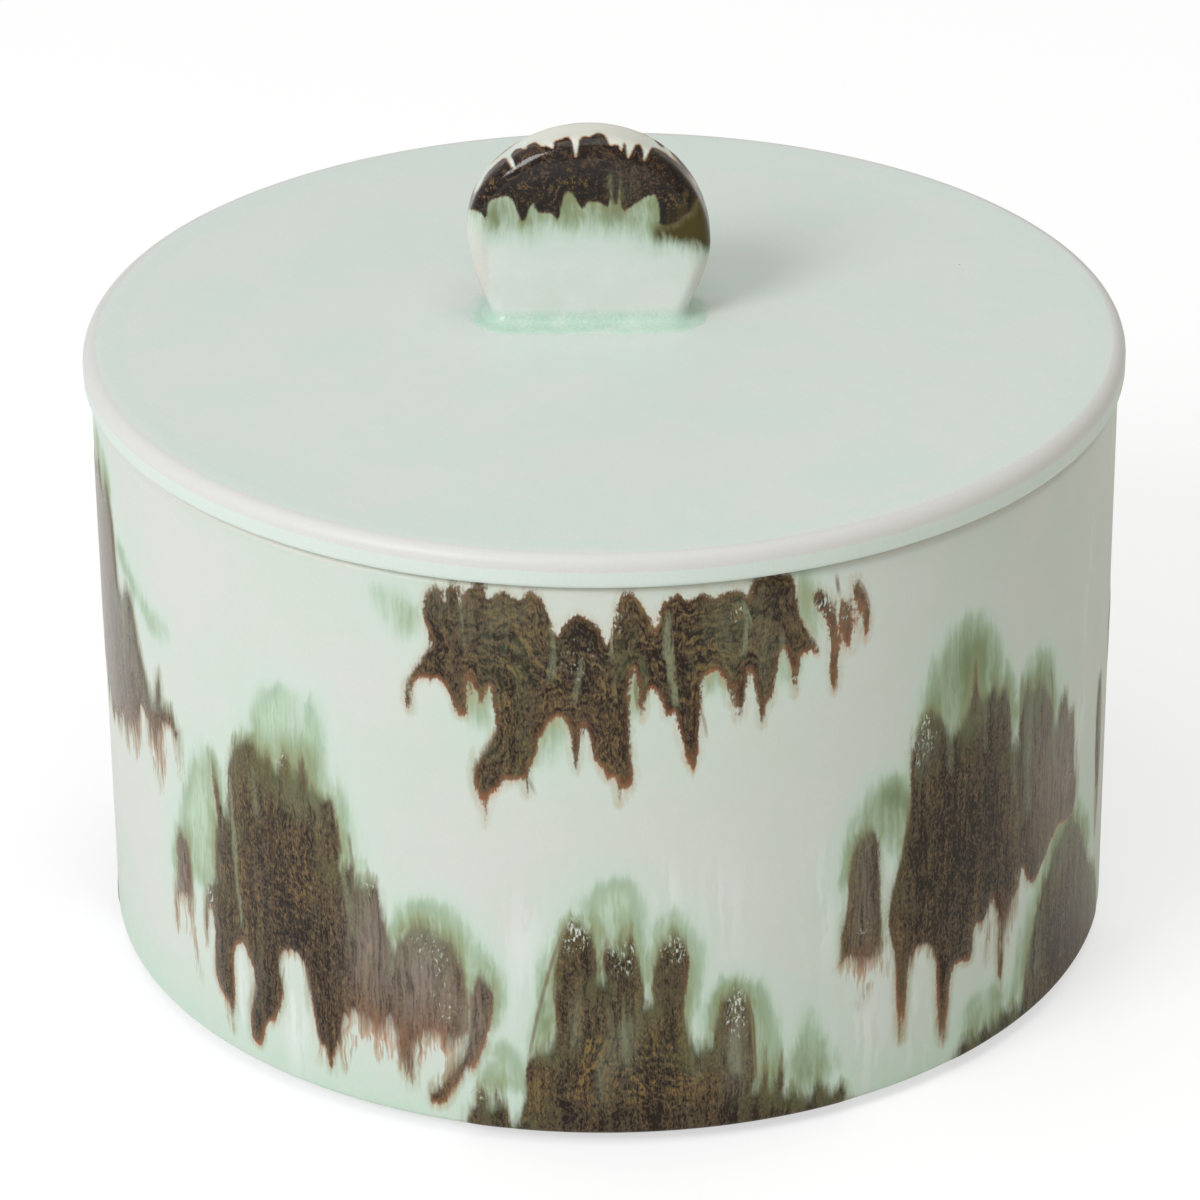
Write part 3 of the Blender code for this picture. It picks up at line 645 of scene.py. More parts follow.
KNOB_BAND = Splash(centre=0.0, brown=(
    (-19, 25.6, -17.6, 29, -15.6, 31.1, -14.4, 31.9, -13.9, 31.3, -12.6, 29.2, -13.2, 32.4, -12.7, 33.5, -11.6, 33.7,
     -10.8, 33, -10.2, 34, -8.9, 34.4, -7.9, 33.4, -7, 33.5, -6, 33, -5.8, 34.3, -4.6, 34.8, -3.4, 35.2, -2.6, 34.2,
     -2.1, 31.2, -1.5, 34.2, -0.8, 35.2, 0.4, 35.2, 1.4, 35.9, 2.6, 35.8, 3.4, 34.8, 3.9, 33.4, 5.2, 33.6, 5.7, 32.4,
     6, 34, 6.5, 33.6, 6.9, 31, 8, 33.4, 8.9, 33.8, 9.5, 32.6, 9.6, 30.4, 10.6, 32.8, 11.4, 33.4, 13.6, 32.2,
     16.6, 29.6, 19, 26, 24, 25, 23, 21, 19.4, 23.2, 18.6, 23.3, 17.6, 20.8, 16.6, 20.2, 14.8, 18.6, 12.3, 18.2,
     12.1, 20.6, 11.4, 23.9, 8.9, 22.8, 6.3, 21, 5.6, 22.4, 5.4, 25.5, 5, 22.4, 4.2, 22.6, 3.9, 25.4, 3.6, 22, 2.9, 22,
     0.3, 22.9, -0.9, 21.1, -2.1, 23.1, -3.3, 25, -4.3, 23.3, -5, 19.4, -6.1, 20.4, -8.8, 20.9, -9.5, 22.6, -11.2, 19.1,
     -13.2, 23.2, -15.1, 23.6, -17, 22.7, -17.4, 19.6, -18.2, 20.5, -19.9, 21.8, -22, 22, -22, 24),
), green=(
    (-18, 26, -17.6, 18.4, -14, 16.8, -11, 16.4, -6, 17.8, -1, 17.6, 4, 16.8, 8, 15.8, 12, 14.8, 15, 14.4, 20.4, 15,
     24, 18, 20, 27),
), ovals={
    Mark.OCHRE: ((-13, 24.6, 4, 2.4, 0.4), (-2, 25.4, 5, 2.6, 0.4), (14, 22.6, 3.4, 2.6, 0.4), (-18, 25, 2.4, 4, 0.6)),
    Mark.MOSS: ((5, 22, 2.2, 5, 0.35), (-16, 20, 2, 3, 0.4)),
    Mark.VEIL: ((6, 25.6, 3, 3, 0.2),),
}, seams=(
    ((4, 29, 3.8, 26.5, 4.1, 23.5, 4.3, 21), 0.55, 0.6),
    ((5.6, 28.5, 5.5, 26, 5, 23), 0.4, 0.5),
))
KNOB_BACK_BAND = KNOB_BAND.mirrored(0.0, -1.0, 1.0)
KNOB_POOL = Splash(centre=0.0, brown=(
    (11.8, 15.8, 12.8, 18.2, 15, 20.4, 17.6, 22.4, 23, 23, 23, 13.6, 18.6, 13.2, 14.6, 14),
))


# Meshes


def arc(across: float, up: float, radius: float, start: float, end: float, steps: int) -> list[Point]:
    """List the points, out and up, of an arc round a centre between two angles in degrees."""
    angles = [math.radians(start + (end - start) * step / steps) for step in range(steps + 1)]
    return [(across + radius * math.cos(angle), up + radius * math.sin(angle)) for angle in angles]


def span(start: Place, end: Place, steps: int) -> list[Place]:
    """List the points that part a straight line into steps, without its ends."""
    shares = [step / steps for step in range(1, steps)]
    return [tuple(a + (b - a) * share for a, b in zip(start, end)) for share in shares]


def add_object(name: str, data: bpy.types.ID) -> bpy.types.Object:
    """Make an object and link it to the scene.

    Args:
        name: The object's name.
        data: Its mesh, light or camera.

    Returns:
        The object.
    """
    made = bpy.data.objects.new(name, data)
    bpy.context.scene.collection.objects.link(made)
    return made


def mesh_object(name: str, points: Array, faces: list[list[int]]) -> bpy.types.Object:
    """Make a smooth mesh object.

    Args:
        name: The object's name.
        points: Its points, one row each.
        faces: The point numbers of each face.

    Returns:
        The object.
    """
    mesh = bpy.data.meshes.new(name)
    mesh.from_pydata(points.tolist(), [], faces)
    mesh.polygons.foreach_set("use_smooth", [True] * len(mesh.polygons))
    mesh.update()
    return add_object(name, mesh)


def ring_quads(rows: Array, around: int, total: int) -> list[list[int]]:
    """Join rings of points with four-sided faces.

    Args:
        rows: The rings that have a face row above them.
        around: Points per ring.
        total: Points in all, after which the rings start again.

    Returns:
        The point numbers of each face.
    """
    first, column = rows[:, None] * around, np.arange(around)
    after, above = (column + 1) % around, (first + around) % total
    return np.stack([first + column, first + after, above + after, above + column], axis=-1).reshape(-1, 4).tolist()


def set_marks(made: bpy.types.Object, marks: Marks) -> None:
    """Store marks on an object's points, and plain values for the marks not given.

    Args:
        made: The object.
        marks: The values of each mark, one per point.
    """
    count = len(made.data.vertices)
    for mark in Mark:
        values = marks.get(mark, np.full(count, OUTSIDE.get(mark, 0.0)))
        layer = made.data.attributes.new(mark.value, "FLOAT", "POINT")
        layer.data.foreach_set("value", np.asarray(values, np.float32))


@dataclass
class Turned:
    """A turned surface round the vertical axis.

    Attributes:
        profile: Points of its outline, out from the axis and up.
        columns: Points round it.
        closed: True where the outline is a closed loop.
    """

    profile: list[Point]
    columns: int
    closed: bool = False

    def __post_init__(self) -> None:
        """Lay out the points ring by ring: their azimuths in degrees, distances from the axis and heights."""
        self.rings = np.array([point for point in self.profile if point[0] > 0.0])
        azimuths = np.arange(self.columns) * 360.0 / self.columns
        turn, ring = np.meshgrid(azimuths, np.arange(len(self.rings)))
        self.turn, self.out, self.height = turn.ravel(), *self.rings[ring.ravel()].T

    def build(self, name: str, marks: Marks, out: Array | float = 0.0,
              up: Array | float = 0.0) -> bpy.types.Object:
        """Make the surface.

        Args:
            name: The object's name.
            marks: The marks of the rings' points.
            out: How far each point is moved out from the axis.
            up: How far each point is moved up.

        Returns:
            The object.
        """
        radius, angle = self.out + out, np.radians(self.turn)
        points = np.column_stack([radius * np.sin(angle), -radius * np.cos(angle), self.height + up])
        count = len(self.rings)
        faces = ring_quads(np.arange(count if self.closed else count - 1), self.columns, len(points))
        if not self.closed:
            column = np.arange(self.columns)
            after, last = (column + 1) % self.columns, (count - 1) * self.columns
            faces += [[len(points), int(b), int(a)] for a, b in zip(column, after)]
            faces += [[len(points) + 1, int(last + a), int(last + b)] for a, b in zip(column, after)]
            points = np.vstack([points, *((0.0, 0.0, self.profile[end][1]) for end in (0, -1))])
            marks = {mark: np.append(values, [values[0], values[-1]]) for mark, values in marks.items()}
        made = mesh_object(name, points, faces)
        set_marks(made, marks)
        return made


@dataclass(frozen=True)
class Waves:
    """The gentle unevenness of thrown clay.

    Attributes:
        seed: Seed of the phases.
        lobes: Waves round the axis.
        lean: The most that a wave leans, in radians per metre.
        shares: The waves' least and greatest strength.
        level: What the sum of the waves is divided by, to stay between about -1 and 1.
    """

    seed: int
    lobes: Counts
    lean: float = 18.0
    shares: Point = (0.5, 1.0)
    level: float = 1.6

    def at(self, turn: Array, height: Array | float = 0.0) -> Array:
        """Give the unevenness at points.

        Args:
            turn: Azimuths in degrees.
            height: Heights in metres.

        Returns:
            Values from about -1 to 1.
        """
        random = np.random.default_rng(self.seed)
        total = np.zeros(turn.shape)
        for count in self.lobes:
            phase, lean = random.uniform(0, 2 * np.pi), random.uniform(-self.lean, self.lean)
            wave = np.sin(np.radians(turn) * count + phase + lean * height)
            total += random.uniform(*self.shares) * wave / count ** 0.5
        return total / self.level


# Shader graphs


@dataclass(frozen=True)
class Value:
    """An output of a node, whose arithmetic adds math nodes.

    Attributes:
        graph: The node's graph.
        socket: The output.
    """

    graph: "Graph"
    socket: Socket

    def __add__(self, other: Any) -> "Value":
        """Add a value."""
        return self.graph.math("ADD", self, other)

    def __sub__(self, other: Any) -> "Value":
        """Take a value away."""
        return self.graph.math("SUBTRACT", self, other)

    def __rsub__(self, other: Any) -> "Value":
        """Take this away from a value."""
        return self.graph.math("SUBTRACT", other, self)

    def __mul__(self, other: Any) -> "Value":
        """Multiply by a value."""
        return self.graph.math("MULTIPLY", self, other)

    def __truediv__(self, other: Any) -> "Value":
        """Divide by a value."""
        return self.graph.math("DIVIDE", self, other)

    def __abs__(self) -> "Value":
        """Drop the sign."""
        return self.graph.math("ABSOLUTE", self)

    def most(self, other: Any) -> "Value":
        """Take the larger of this and a value."""
        return self.graph.math("MAXIMUM", self, other)


@dataclass(frozen=True)
class Graph:
    """Short ways to add and join the nodes of one tree.

    Attributes:
        tree: The tree.
        effects: The shared node groups, for a finish that needs them.
    """

    tree: Tree
    effects: "Effects | None" = None

    def add(self, kind: str, settings: dict[str, Any] | None = None, **inputs: Any) -> bpy.types.Node:
        """Add a node.

        Args:
            kind: Its type's name, without the leading ShaderNode.
            settings: Its properties.
            inputs: Its inputs by name, with _ for a space.

        Returns:
            The node.
        """
        node = self.tree.nodes.new("ShaderNode" + kind)
        for name, value in (settings or {}).items():
            setattr(node, name, value)
        for name, value in inputs.items():
            self.put(node.inputs[name.replace("_", " ")], value)
        return node

    def put(self, socket: Socket, value: Any) -> None:
        """Link or set an input.

        Args:
            socket: The input.
            value: What feeds it, or its own value.
        """
        if isinstance(value, Value):
            self.tree.links.new(value.socket, socket)
        else:
            socket.default_value = value

    def out(self, node: bpy.types.Node, label: str | int = 0) -> Value:
        """Take an output of a node."""
        return Value(self, node.outputs[label])

    def fill(self, node: bpy.types.Node, values: Iterable[Any]) -> Value:
        """Link or set a node's first inputs.

        Args:
            node: The node.
            values: What feeds its inputs, in their order.

        Returns:
            Its first output.
        """
        for socket, value in zip(node.inputs, values):
            self.put(socket, value)
        return self.out(node)

    def math(self, operation: str, first: Any, second: Any = 0.0) -> Value:
        """Add a math node."""
        return self.fill(self.add("Math", {"operation": operation}), (first, second))

    def step(self, value: Any, low: Any, high: Any, start: float = 0.0, end: float = 1.0) -> Value:
        """Add a smooth step from start, at low and below it, to end, at high and beyond."""
        node = self.add("MapRange", {"interpolation_type": "SMOOTHSTEP"})
        return self.fill(node, (value, low, high, start, end))

    def blend(self, base: Any, *layers: tuple[Any, Any]) -> Value:
        """Lay colours over a base.

        Args:
            base: The colour underneath.
            layers: The share and the colour of each layer.

        Returns:
            The mixed colour.
        """
        for share, colour in layers:
            node = self.add("Mix", {"data_type": "RGBA"}, Factor=share)
            for index, value in ((6, base), (7, colour)):
                self.put(node.inputs[index], value)
            base = self.out(node, 2)
        return base

    def vector(self, operation: str, first: Any, second: Any) -> Value:
        """Add a vector math node.

        Args:
            operation: Its operation.
            first: The first vector.
            second: The second vector, or the factor of a scaling.

        Returns:
            The result.
        """
        node = self.add("VectorMath", {"operation": operation})
        self.put(node.inputs["Scale" if operation == "SCALE" else 1], second)
        return self.fill(node, (first,))

    def combine(self, *values: Any) -> Value:
        """Join three values into a vector."""
        return self.fill(self.add("CombineXYZ"), values)

    def split(self, vector: Any) -> list[Value]:
        """Part a vector into its three values."""
        node = self.add("SeparateXYZ", Vector=vector)
        return [self.out(node, index) for index in range(3)]

    def object_mm(self) -> Value:
        """Give the place on the object in millimetres."""
        return self.vector("SCALE", self.out(self.add("TexCoord"), "Object"), 1.0 / MM)

    def noise(self, place: Any, scale: Any, detail: Any = 2.0, roughness: float = 0.5) -> Value:
        """Look up a noise texture, which is around 0.5, with some finer octaves and their strength."""
        return self.out(self.add("TexNoise", Vector=place, Scale=scale, Detail=detail, Roughness=roughness), "Fac")

    def bump(self, height: Value, relief: float, strength: float) -> Value:
        """Turn a height into a normal, where a height of 1 stands for relief in metres."""
        return self.out(self.add("Bump", Height=height, Distance=relief, Strength=strength))

    def mark(self, mark: Mark) -> Value:
        """Read a mark of the mesh."""
        return self.out(self.add("Attribute", {"attribute_name": mark.value}), "Fac")

    def group(self, tree: Tree, **values: Any) -> dict[str, Value]:
        """Place a node group with its inputs, and give its outputs by name."""
        node = self.add("Group", {"node_tree": tree}, **{name.capitalize(): value for name, value in values.items()})
        return {socket.name: Value(self, socket) for socket in node.outputs}


class Effects:
    """The effects that several finishes share, each a node group that is built once."""

    DRAB = srgb(88, 83, 66)
    GOLD = srgb(132, 104, 48)
    OLIVE = srgb(92, 96, 62)
    MILK = srgb(142, 130, 121)
    VEIL = srgb(112, 116, 100)
    RUST = srgb(150, 100, 68)
    TAWNY = srgb(148, 100, 74)
    AMBER = srgb(172, 116, 58)
    SEAM = srgb(134, 140, 112)
    LINE = srgb(92, 68, 48)
    LACE = srgb(142, 148, 126)
    # Painted highlight: white flecks that stand for sparkles of light on the bubbly glaze
    GLINT = srgb(206, 214, 208)
    WHITE_RUN = srgb(222, 226, 226)
    HALO = srgb(190, 212, 202)
    MIST = srgb(194, 212, 198)
    SOFT_GREEN = srgb(172, 195, 170)
    DOME_RIM = srgb(136, 162, 132)
    FLOW = srgb(134, 152, 116)
    BLEED = srgb(122, 130, 86)
    FRINGE = srgb(144, 152, 116)
    STAIN = srgb(198, 168, 144)
    THIN_LINE = srgb(112, 90, 64)
    CLOUD_SHADE = srgb(150, 160, 150)

    def __init__(self) -> None:
        """Build the groups."""
        self.grain = self._grain()
        self.mottle = self._mottle()
        self.specks = self._specks()
        self.drips = self._drips()

    @staticmethod
    def _start(name: str, inputs: dict[str, float | Colour], *outputs: str) -> tuple[Graph, dict[str, Value], Any]:
        """Start a group with its sockets.

        Args:
            name: The group's name.
            inputs: Names and first values of its inputs.
            outputs: Names of its outputs, of which Color is a colour and the others are values.

        Returns:
            The graph, the group's inputs by name and the sockets of its output node.
        """
        tree = bpy.data.node_groups.new(name, "ShaderNodeTree")
        for label, value in inputs.items():
            kind = "NodeSocketColor" if isinstance(value, tuple) else "NodeSocketFloat"
            tree.interface.new_socket(name=label, in_out="INPUT", socket_type=kind).default_value = value
        for label in outputs:
            kind = "NodeSocketColor" if label == "Color" else "NodeSocketFloat"
            tree.interface.new_socket(name=label, in_out="OUTPUT", socket_type=kind)
        graph = Graph(tree)
        given = {socket.name: Value(graph, socket) for socket in tree.nodes.new("NodeGroupInput").outputs}
        return graph, given, tree.nodes.new("NodeGroupOutput").inputs

    def _grain(self) -> Tree:
        """Build the upright fibrous grain of a run glaze.

        Returns:
            The group.
        """
        graph, given, result = self._start(
            "glaze_grain", {"Width": 0.5, "Length": 4.0, "Bend": 0.5, "Detail": 2.0}, "Grain",
        )
        place = graph.object_mm()
        bend = graph.out(graph.add("TexNoise", Vector=place, Scale=0.25, Detail=1.0), "Color")
        shift = graph.vector("SCALE", graph.vector("SUBTRACT", bend, (0.5, 0.5, 0.5)), given["Bend"])
        scale = graph.combine(*(graph.math("DIVIDE", 1.0, given[label]) for label in ("Width", "Width", "Length")))
        fibres = graph.vector("MULTIPLY", graph.vector("ADD", place, shift), scale)
        graph.put(result["Grain"], graph.noise(fibres, 0.6, given["Detail"]))
        return graph.tree

    def _mottle(self) -> Tree:
        """Build the soft mottling of a celadon glaze, thin on arrises and deep in pools.

        Returns:
            The group.
        """
        graph, given, result = self._start(
            "celadon_mottle",
            {"Pale": srgb(214, 220, 212), "Deep": srgb(190, 214, 198), "Thin": srgb(224, 217, 212),
             "Amount": 0.5, "Arris": 0.0, "Pool": 0.0},
            "Color", "Height", "Satin",
        )
        place = graph.object_mm()
        cloud = graph.noise(place, 0.045, 3.0, 0.55)
        patch = graph.noise(place, 0.24, 2.0, 0.5)
        fine = graph.noise(place, 2.4, 2.0, 0.6)
        share = graph.step(cloud * 0.75 + patch * 0.25, 0.36, 0.66) * given["Amount"]
        share = share.most(given["Pool"] * graph.step(patch + fine, 0.7, 1.3, 0.6, 1.05))
        grainy = graph.step(given["Arris"] + (fine - 0.5) * 0.9, 0.3, 0.8)
        shade = graph.step(fine, 0.3, 0.7, 0.0, 0.05)
        colour = graph.blend(
            given["Pale"], (share, given["Deep"]), (grainy, given["Thin"]), (shade, self.CLOUD_SHADE),
        )
        graph.put(result["Color"], colour)
        graph.put(result["Height"], patch * 0.7 + fine * 0.12)
        graph.put(result["Satin"], patch * 0.1 + fine * 0.08)
        return graph.tree

    def _specks(self) -> Tree:
        """Build sparse dark pin specks of iron in the glaze.

        Returns:
            The group.
        """
        graph, given, result = self._start("pin_specks", {"Spacing": 5.0, "Size": 0.12, "Share": 0.4}, "Speck")
        cell = graph.add("TexVoronoi", Vector=graph.object_mm(), Scale=graph.math("DIVIDE", 1.0, given["Spacing"]))
        parts = graph.add("SeparateColor", Color=graph.out(cell, "Color"))
        chosen = graph.math("LESS_THAN", graph.out(parts, 0), given["Share"])
        size = given["Size"] / given["Spacing"] * graph.out(parts, 1)
        graph.put(result["Speck"], graph.step(graph.out(cell, "Distance"), size, size * 0.4) * chosen)
        return graph.tree

    def _drips(self) -> Tree:
        """Build the brown run glaze with its ochre specks, rusty edges and green domes over a ground.

        Returns:
            The group.
        """
        marks = {mark: OUTSIDE.get(mark, 0.0) for mark in (*OUTSIDE, *DRAWN_MARKS)}
        graph, given, result = self._start(
            "drip_glaze",
            {"Ground": srgb(214, 220, 212), "Mossy": srgb(112, 126, 82), "Shade": srgb(36, 26, 20),
             "Body": srgb(84, 69, 53), "Light": srgb(126, 109, 80), "Ragged": 1.0, "Length": 1.0, "Tone": 0.0,
             "Rim": 1.2, "Olive": 1.0, "Rusty": 1.0, "Crest": 0.0, "Bleed": 0.5, "Curl": 0.0,
             **{mark.label: value for mark, value in marks.items()}},
            "Color", "Cover", "Height", "Sheen",
        )

        def grain(width: float, length: float, bend: float, detail: float) -> Value:
            """Place the grain group, its length scaled by the input."""
            drawn = given["Length"] * length
            return graph.group(self.grain, width=width, length=drawn, bend=bend, detail=detail)["Grain"]

        step = graph.step
        depth, upper, lower, fade, crisp = (given[label] for label in ("Brown", "Upper", "Lower", "Fade", "Crisp"))
        fine, broad = grain(0.32, 5.0, 1.2, 2.0), grain(1.3, 16.0, 2.5, 2.0)
        worm, patch = grain(0.16, 0.42, 0.8, 2.0), grain(2.6, 8.0, 3.0, 1.0)
        swirl, streak = grain(0.34, 0.62, 4.0, 1.0), grain(0.26, 0.62, 2.4, 1.0)
        fine_wave, broad_wave = fine - 0.5, broad - 0.5

        # Where the brown glaze covers the ground
        soft_top = upper * given["Olive"] * (1.0 - crisp)
        ragged = (
            fine_wave * (soft_top * 2.6 + lower * 0.5 + fade * 13.0 + 0.5)
            + broad_wave * (soft_top * 3.4 + lower * 1.4 + fade * 6.0 + 0.9)
            + (worm - 0.5) * 0.7 + fade * -1.6 + (swirl - 0.5) * crisp * 1.2
        )
        edge = depth + ragged * given["Ragged"]
        cover = step(edge, soft_top * -1.2 + fade * -3.0 - 0.2, soft_top * 2.6 + fade * 6.5 + 0.28)

        # The grain of the brown glaze: straight fibres, or curls that follow its outline
        side, _, high = graph.split(graph.object_mm())

        def contour(aside: float, along: float, scale: float) -> Value:
            """Draw a grain that follows the outline of the brown glaze."""
            return graph.noise(graph.combine(depth + broad_wave * 4.0, side * aside, high * along), scale, 2.0)

        straight = fine * 0.22 + worm * 0.32 + broad * 0.24 + swirl * 0.22
        curled = contour(0.3, 0.45, 1.5) * 0.40 + contour(0.1, 0.09, 0.9) * 0.28 + swirl * 0.12 + worm * 0.20
        curl = (given["Ochre"] * 0.8).most(crisp * 0.9).most(given["Curl"])
        calm = step(patch, 0.5, 0.64) * given["Olive"]
        mixed = straight * (1.0 - curl) + curled * curl - 0.5
        tone = (
            mixed * (curl * 0.35 + calm * -0.25 + 1.15) + given["Tone"] + 0.5 + given["Dark"] * -0.06
            + given["Ochre"] * -0.03
        )

        # Its colours
        near_top = step(depth, 9.0, 0.3) * soft_top
        rust = lower * 0.68 + given["Mauve"] * 0.2 + crisp * 0.14 + given["Rust"] * 0.75 + 0.1
        seam = step(abs(given["Seam"]) + fine_wave * 2.4 + broad_wave * 4.0 + patch * 2.0 - 1.0, 1.3, 0.0)
        line = step(abs(given["Line"]), 1.25, 0.3) * given["Line strength"] * step(fine, 0.3, 0.55, 0.7, 1.0)
        shining = step(given["Glint"], 0.05, 0.4)
        # Painted highlights: white flecks that stand for sparkles of light on the glaze's bubbles; they also raise the
        # bumps and lower the roughness there
        glint = step(streak + given["Glint"] * 0.14, 0.69, 0.76) * shining
        brown = graph.blend(
            given["Shade"],
            (step(tone, 0.40, 0.50), given["Body"]),
            (step(tone, 0.50, 0.61), given["Light"]),
            (calm * step(tone, 0.4, 0.5) * 0.28, self.DRAB),
            (given["Ochre"] * step(tone, 0.495, 0.56) * step(patch, 0.3, 0.6, 0.5, 0.95), self.GOLD),
            (near_top * step(broad, 0.32, 0.6, 0.35, 1.0) * 0.75, self.OLIVE),
            (given["Moss"] * step(broad, 0.42, 0.58) * 0.55, given["Mossy"]),
            (given["Mauve"] * step(fine, 0.3, 0.62, 0.35, 1.0) * 0.75, self.MILK),
            (given["Veil"] * step(fine + broad, 0.85, 1.12, 0.15, 1.0) * 0.8, self.VEIL),
            (step(edge, given["Rim"], 0.0) * (1.0 - soft_top) * given["Rusty"] * rust, self.RUST),
            (fade * step(fine, 0.35, 0.6, 0.5, 1.0) * 0.9, self.TAWNY),
            (step(edge, 0.42, 0.0) * step(upper, 0.1, 0.5) * given["Crest"], self.AMBER),
            (seam * given["Seam strength"] * step(worm, 0.3, 0.6, 0.6, 1.0) * 0.85, self.SEAM),
            (line * 0.7, self.LINE),
            (step(streak + given["Glint"] * 0.15, 0.61, 0.67) * shining * 0.6, self.LACE),
            # Painted highlights over the lace
            (glint * 0.8, self.GLINT),
        )

        # The ground round it
        dome = given["Green"] + broad_wave * 3.2 + fine_wave * 1.6 + (patch - 0.5) * 2.0
        run = given["Run"] * step(grain(1.0, 9.0, 1.5, 1.0), 0.44, 0.58)
        rim = step(dome, -1.6, 0.7) * step(dome, 3.2, 0.8) * given["Olive"] * (0.5 - crisp * 0.3)
        bleed = step(depth, -6.0, -0.1) * step(dome, -1.0, 3.0) * given["Bleed"]
        fringe = step(edge, -1.5, -0.1) * step(broad, 0.3, 0.65, 0.15, 0.55) * given["Rusty"]
        stain = lower * 0.4 + fade * 0.4 + crisp * 0.35 + given["Rust"] * 0.4
        ground = graph.blend(
            given["Ground"],
            (run * 0.9, self.WHITE_RUN),
            (step(given["Green"], -8.0, 0.5) * 0.45, self.HALO),
            (step(depth, -7.0, -0.5) * (lower * -0.15 + 0.22), self.MIST),
            (step(dome, -3.0, 2.8) * step(fine + broad, 0.75, 1.2, 0.6, 1.0), self.SOFT_GREEN),
            (rim * step(patch, 0.36, 0.6, 0.3, 1.1), self.DOME_RIM),
            (step(fine, 0.5, 0.62) * step(dome, 0.0, 3.0) * 0.26, self.FLOW),
            (bleed * step(broad, 0.3, 0.6, 0.5, 1.3), self.BLEED),
            (step(dome, -1.0, 3.0) * given["Moss"] * step(broad, 0.3, 0.6, 0.8, 1.0), given["Mossy"]),
            (fringe * (1.0 - crisp * 0.75), self.FRINGE),
            (step(edge, -1.4, 0.0) * stain * given["Rusty"] * step(fine, 0.35, 0.6), self.STAIN),
        )

        colour = graph.blend(ground, (cover, brown), (line * (1.0 - cover), self.THIN_LINE))
        graph.put(result["Color"], colour)
        graph.put(result["Cover"], cover)
        graph.put(result["Height"], step(edge, 0.0, 2.0) + cover * (worm + fine) * 0.35 + glint * 0.8)
        graph.put(result["Sheen"], fine * 0.16 + glint * -0.1)
        return graph.tree


# Finishes


@dataclass(frozen=True)
class Finish:
    """What every finish shares: a material whose shader it feeds.

    Attributes:
        name: The material's name.
    """

    name: str

    def feeds(self, graph: Graph) -> dict[str, Any]:
        """Lay the finish in a material's graph, and give what feeds its shader, with _ for a space."""
        raise NotImplementedError

    def material(self, effects: Effects | None = None) -> bpy.types.Material:
        """Build the material.

        Args:
            effects: The shared node groups.

        Returns:
            The material.
        """
        material = bpy.data.materials.new(self.name)
        material.use_nodes = True
        material.node_tree.nodes.clear()
        graph = Graph(material.node_tree, effects)
        shader = graph.add("BsdfPrincipled", **self.feeds(graph))
        graph.add("OutputMaterial", Surface=graph.out(shader))
        return material


@dataclass(frozen=True)
class CeladonFinish(Finish):
    """Plain celadon glaze, whiter on arrises and greener in pools.

    Attributes:
        pale: Its pale colour.
        deep: Its colour where it is deep.
        thin: Its colour where it is thin.
        amount: How strong the mottling is.
        roughness: Its mean roughness.
        relief: Height of its bumps in metres.
        bump: How strong they are.
        speck: The colour of its specks.
        speck_spacing: How far apart the specks are, in mm.
        speck_size: Their largest size in mm.
        speck_share: How many of them show.
        speck_strength: How strong they are.
    """

    pale: Colour = srgb(216, 222, 214)
    deep: Colour = srgb(190, 216, 200)
    thin: Colour = srgb(226, 219, 214)
    amount: float = 0.5
    roughness: float = 0.32
    relief: float = 0.25 * MM
    bump: float = 0.5
    speck: Colour = srgb(92, 84, 70)
    speck_spacing: float = 9.0
    speck_size: float = 0.34
    speck_share: float = 0.3
    speck_strength: float = 0.6

    def glazed(self, graph: Graph) -> tuple[Value, Value, Value]:
        """Lay the glaze in a material's graph.

        Args:
            graph: The graph.

        Returns:
            Its colour, roughness and height.
        """
        plain = graph.group(
            graph.effects.mottle, pale=self.pale, deep=self.deep, thin=self.thin, amount=self.amount,
            arris=graph.mark(Mark.ARRIS), pool=graph.mark(Mark.POOL),
        )
        specks = graph.group(
            graph.effects.specks, spacing=self.speck_spacing, size=self.speck_size, share=self.speck_share)
        colour = graph.blend(plain["Color"], (specks["Speck"] * self.speck_strength, self.speck))
        return colour, plain["Satin"] + self.roughness, plain["Height"]

    def feeds(self, graph: Graph) -> dict[str, Any]:
        """Lay the glaze in a material's graph, and give what feeds its shader."""
        colour, rough, height = self.glazed(graph)
        return {"Base_Color": colour, "Roughness": rough, "Normal": graph.bump(height, self.relief, self.bump)}


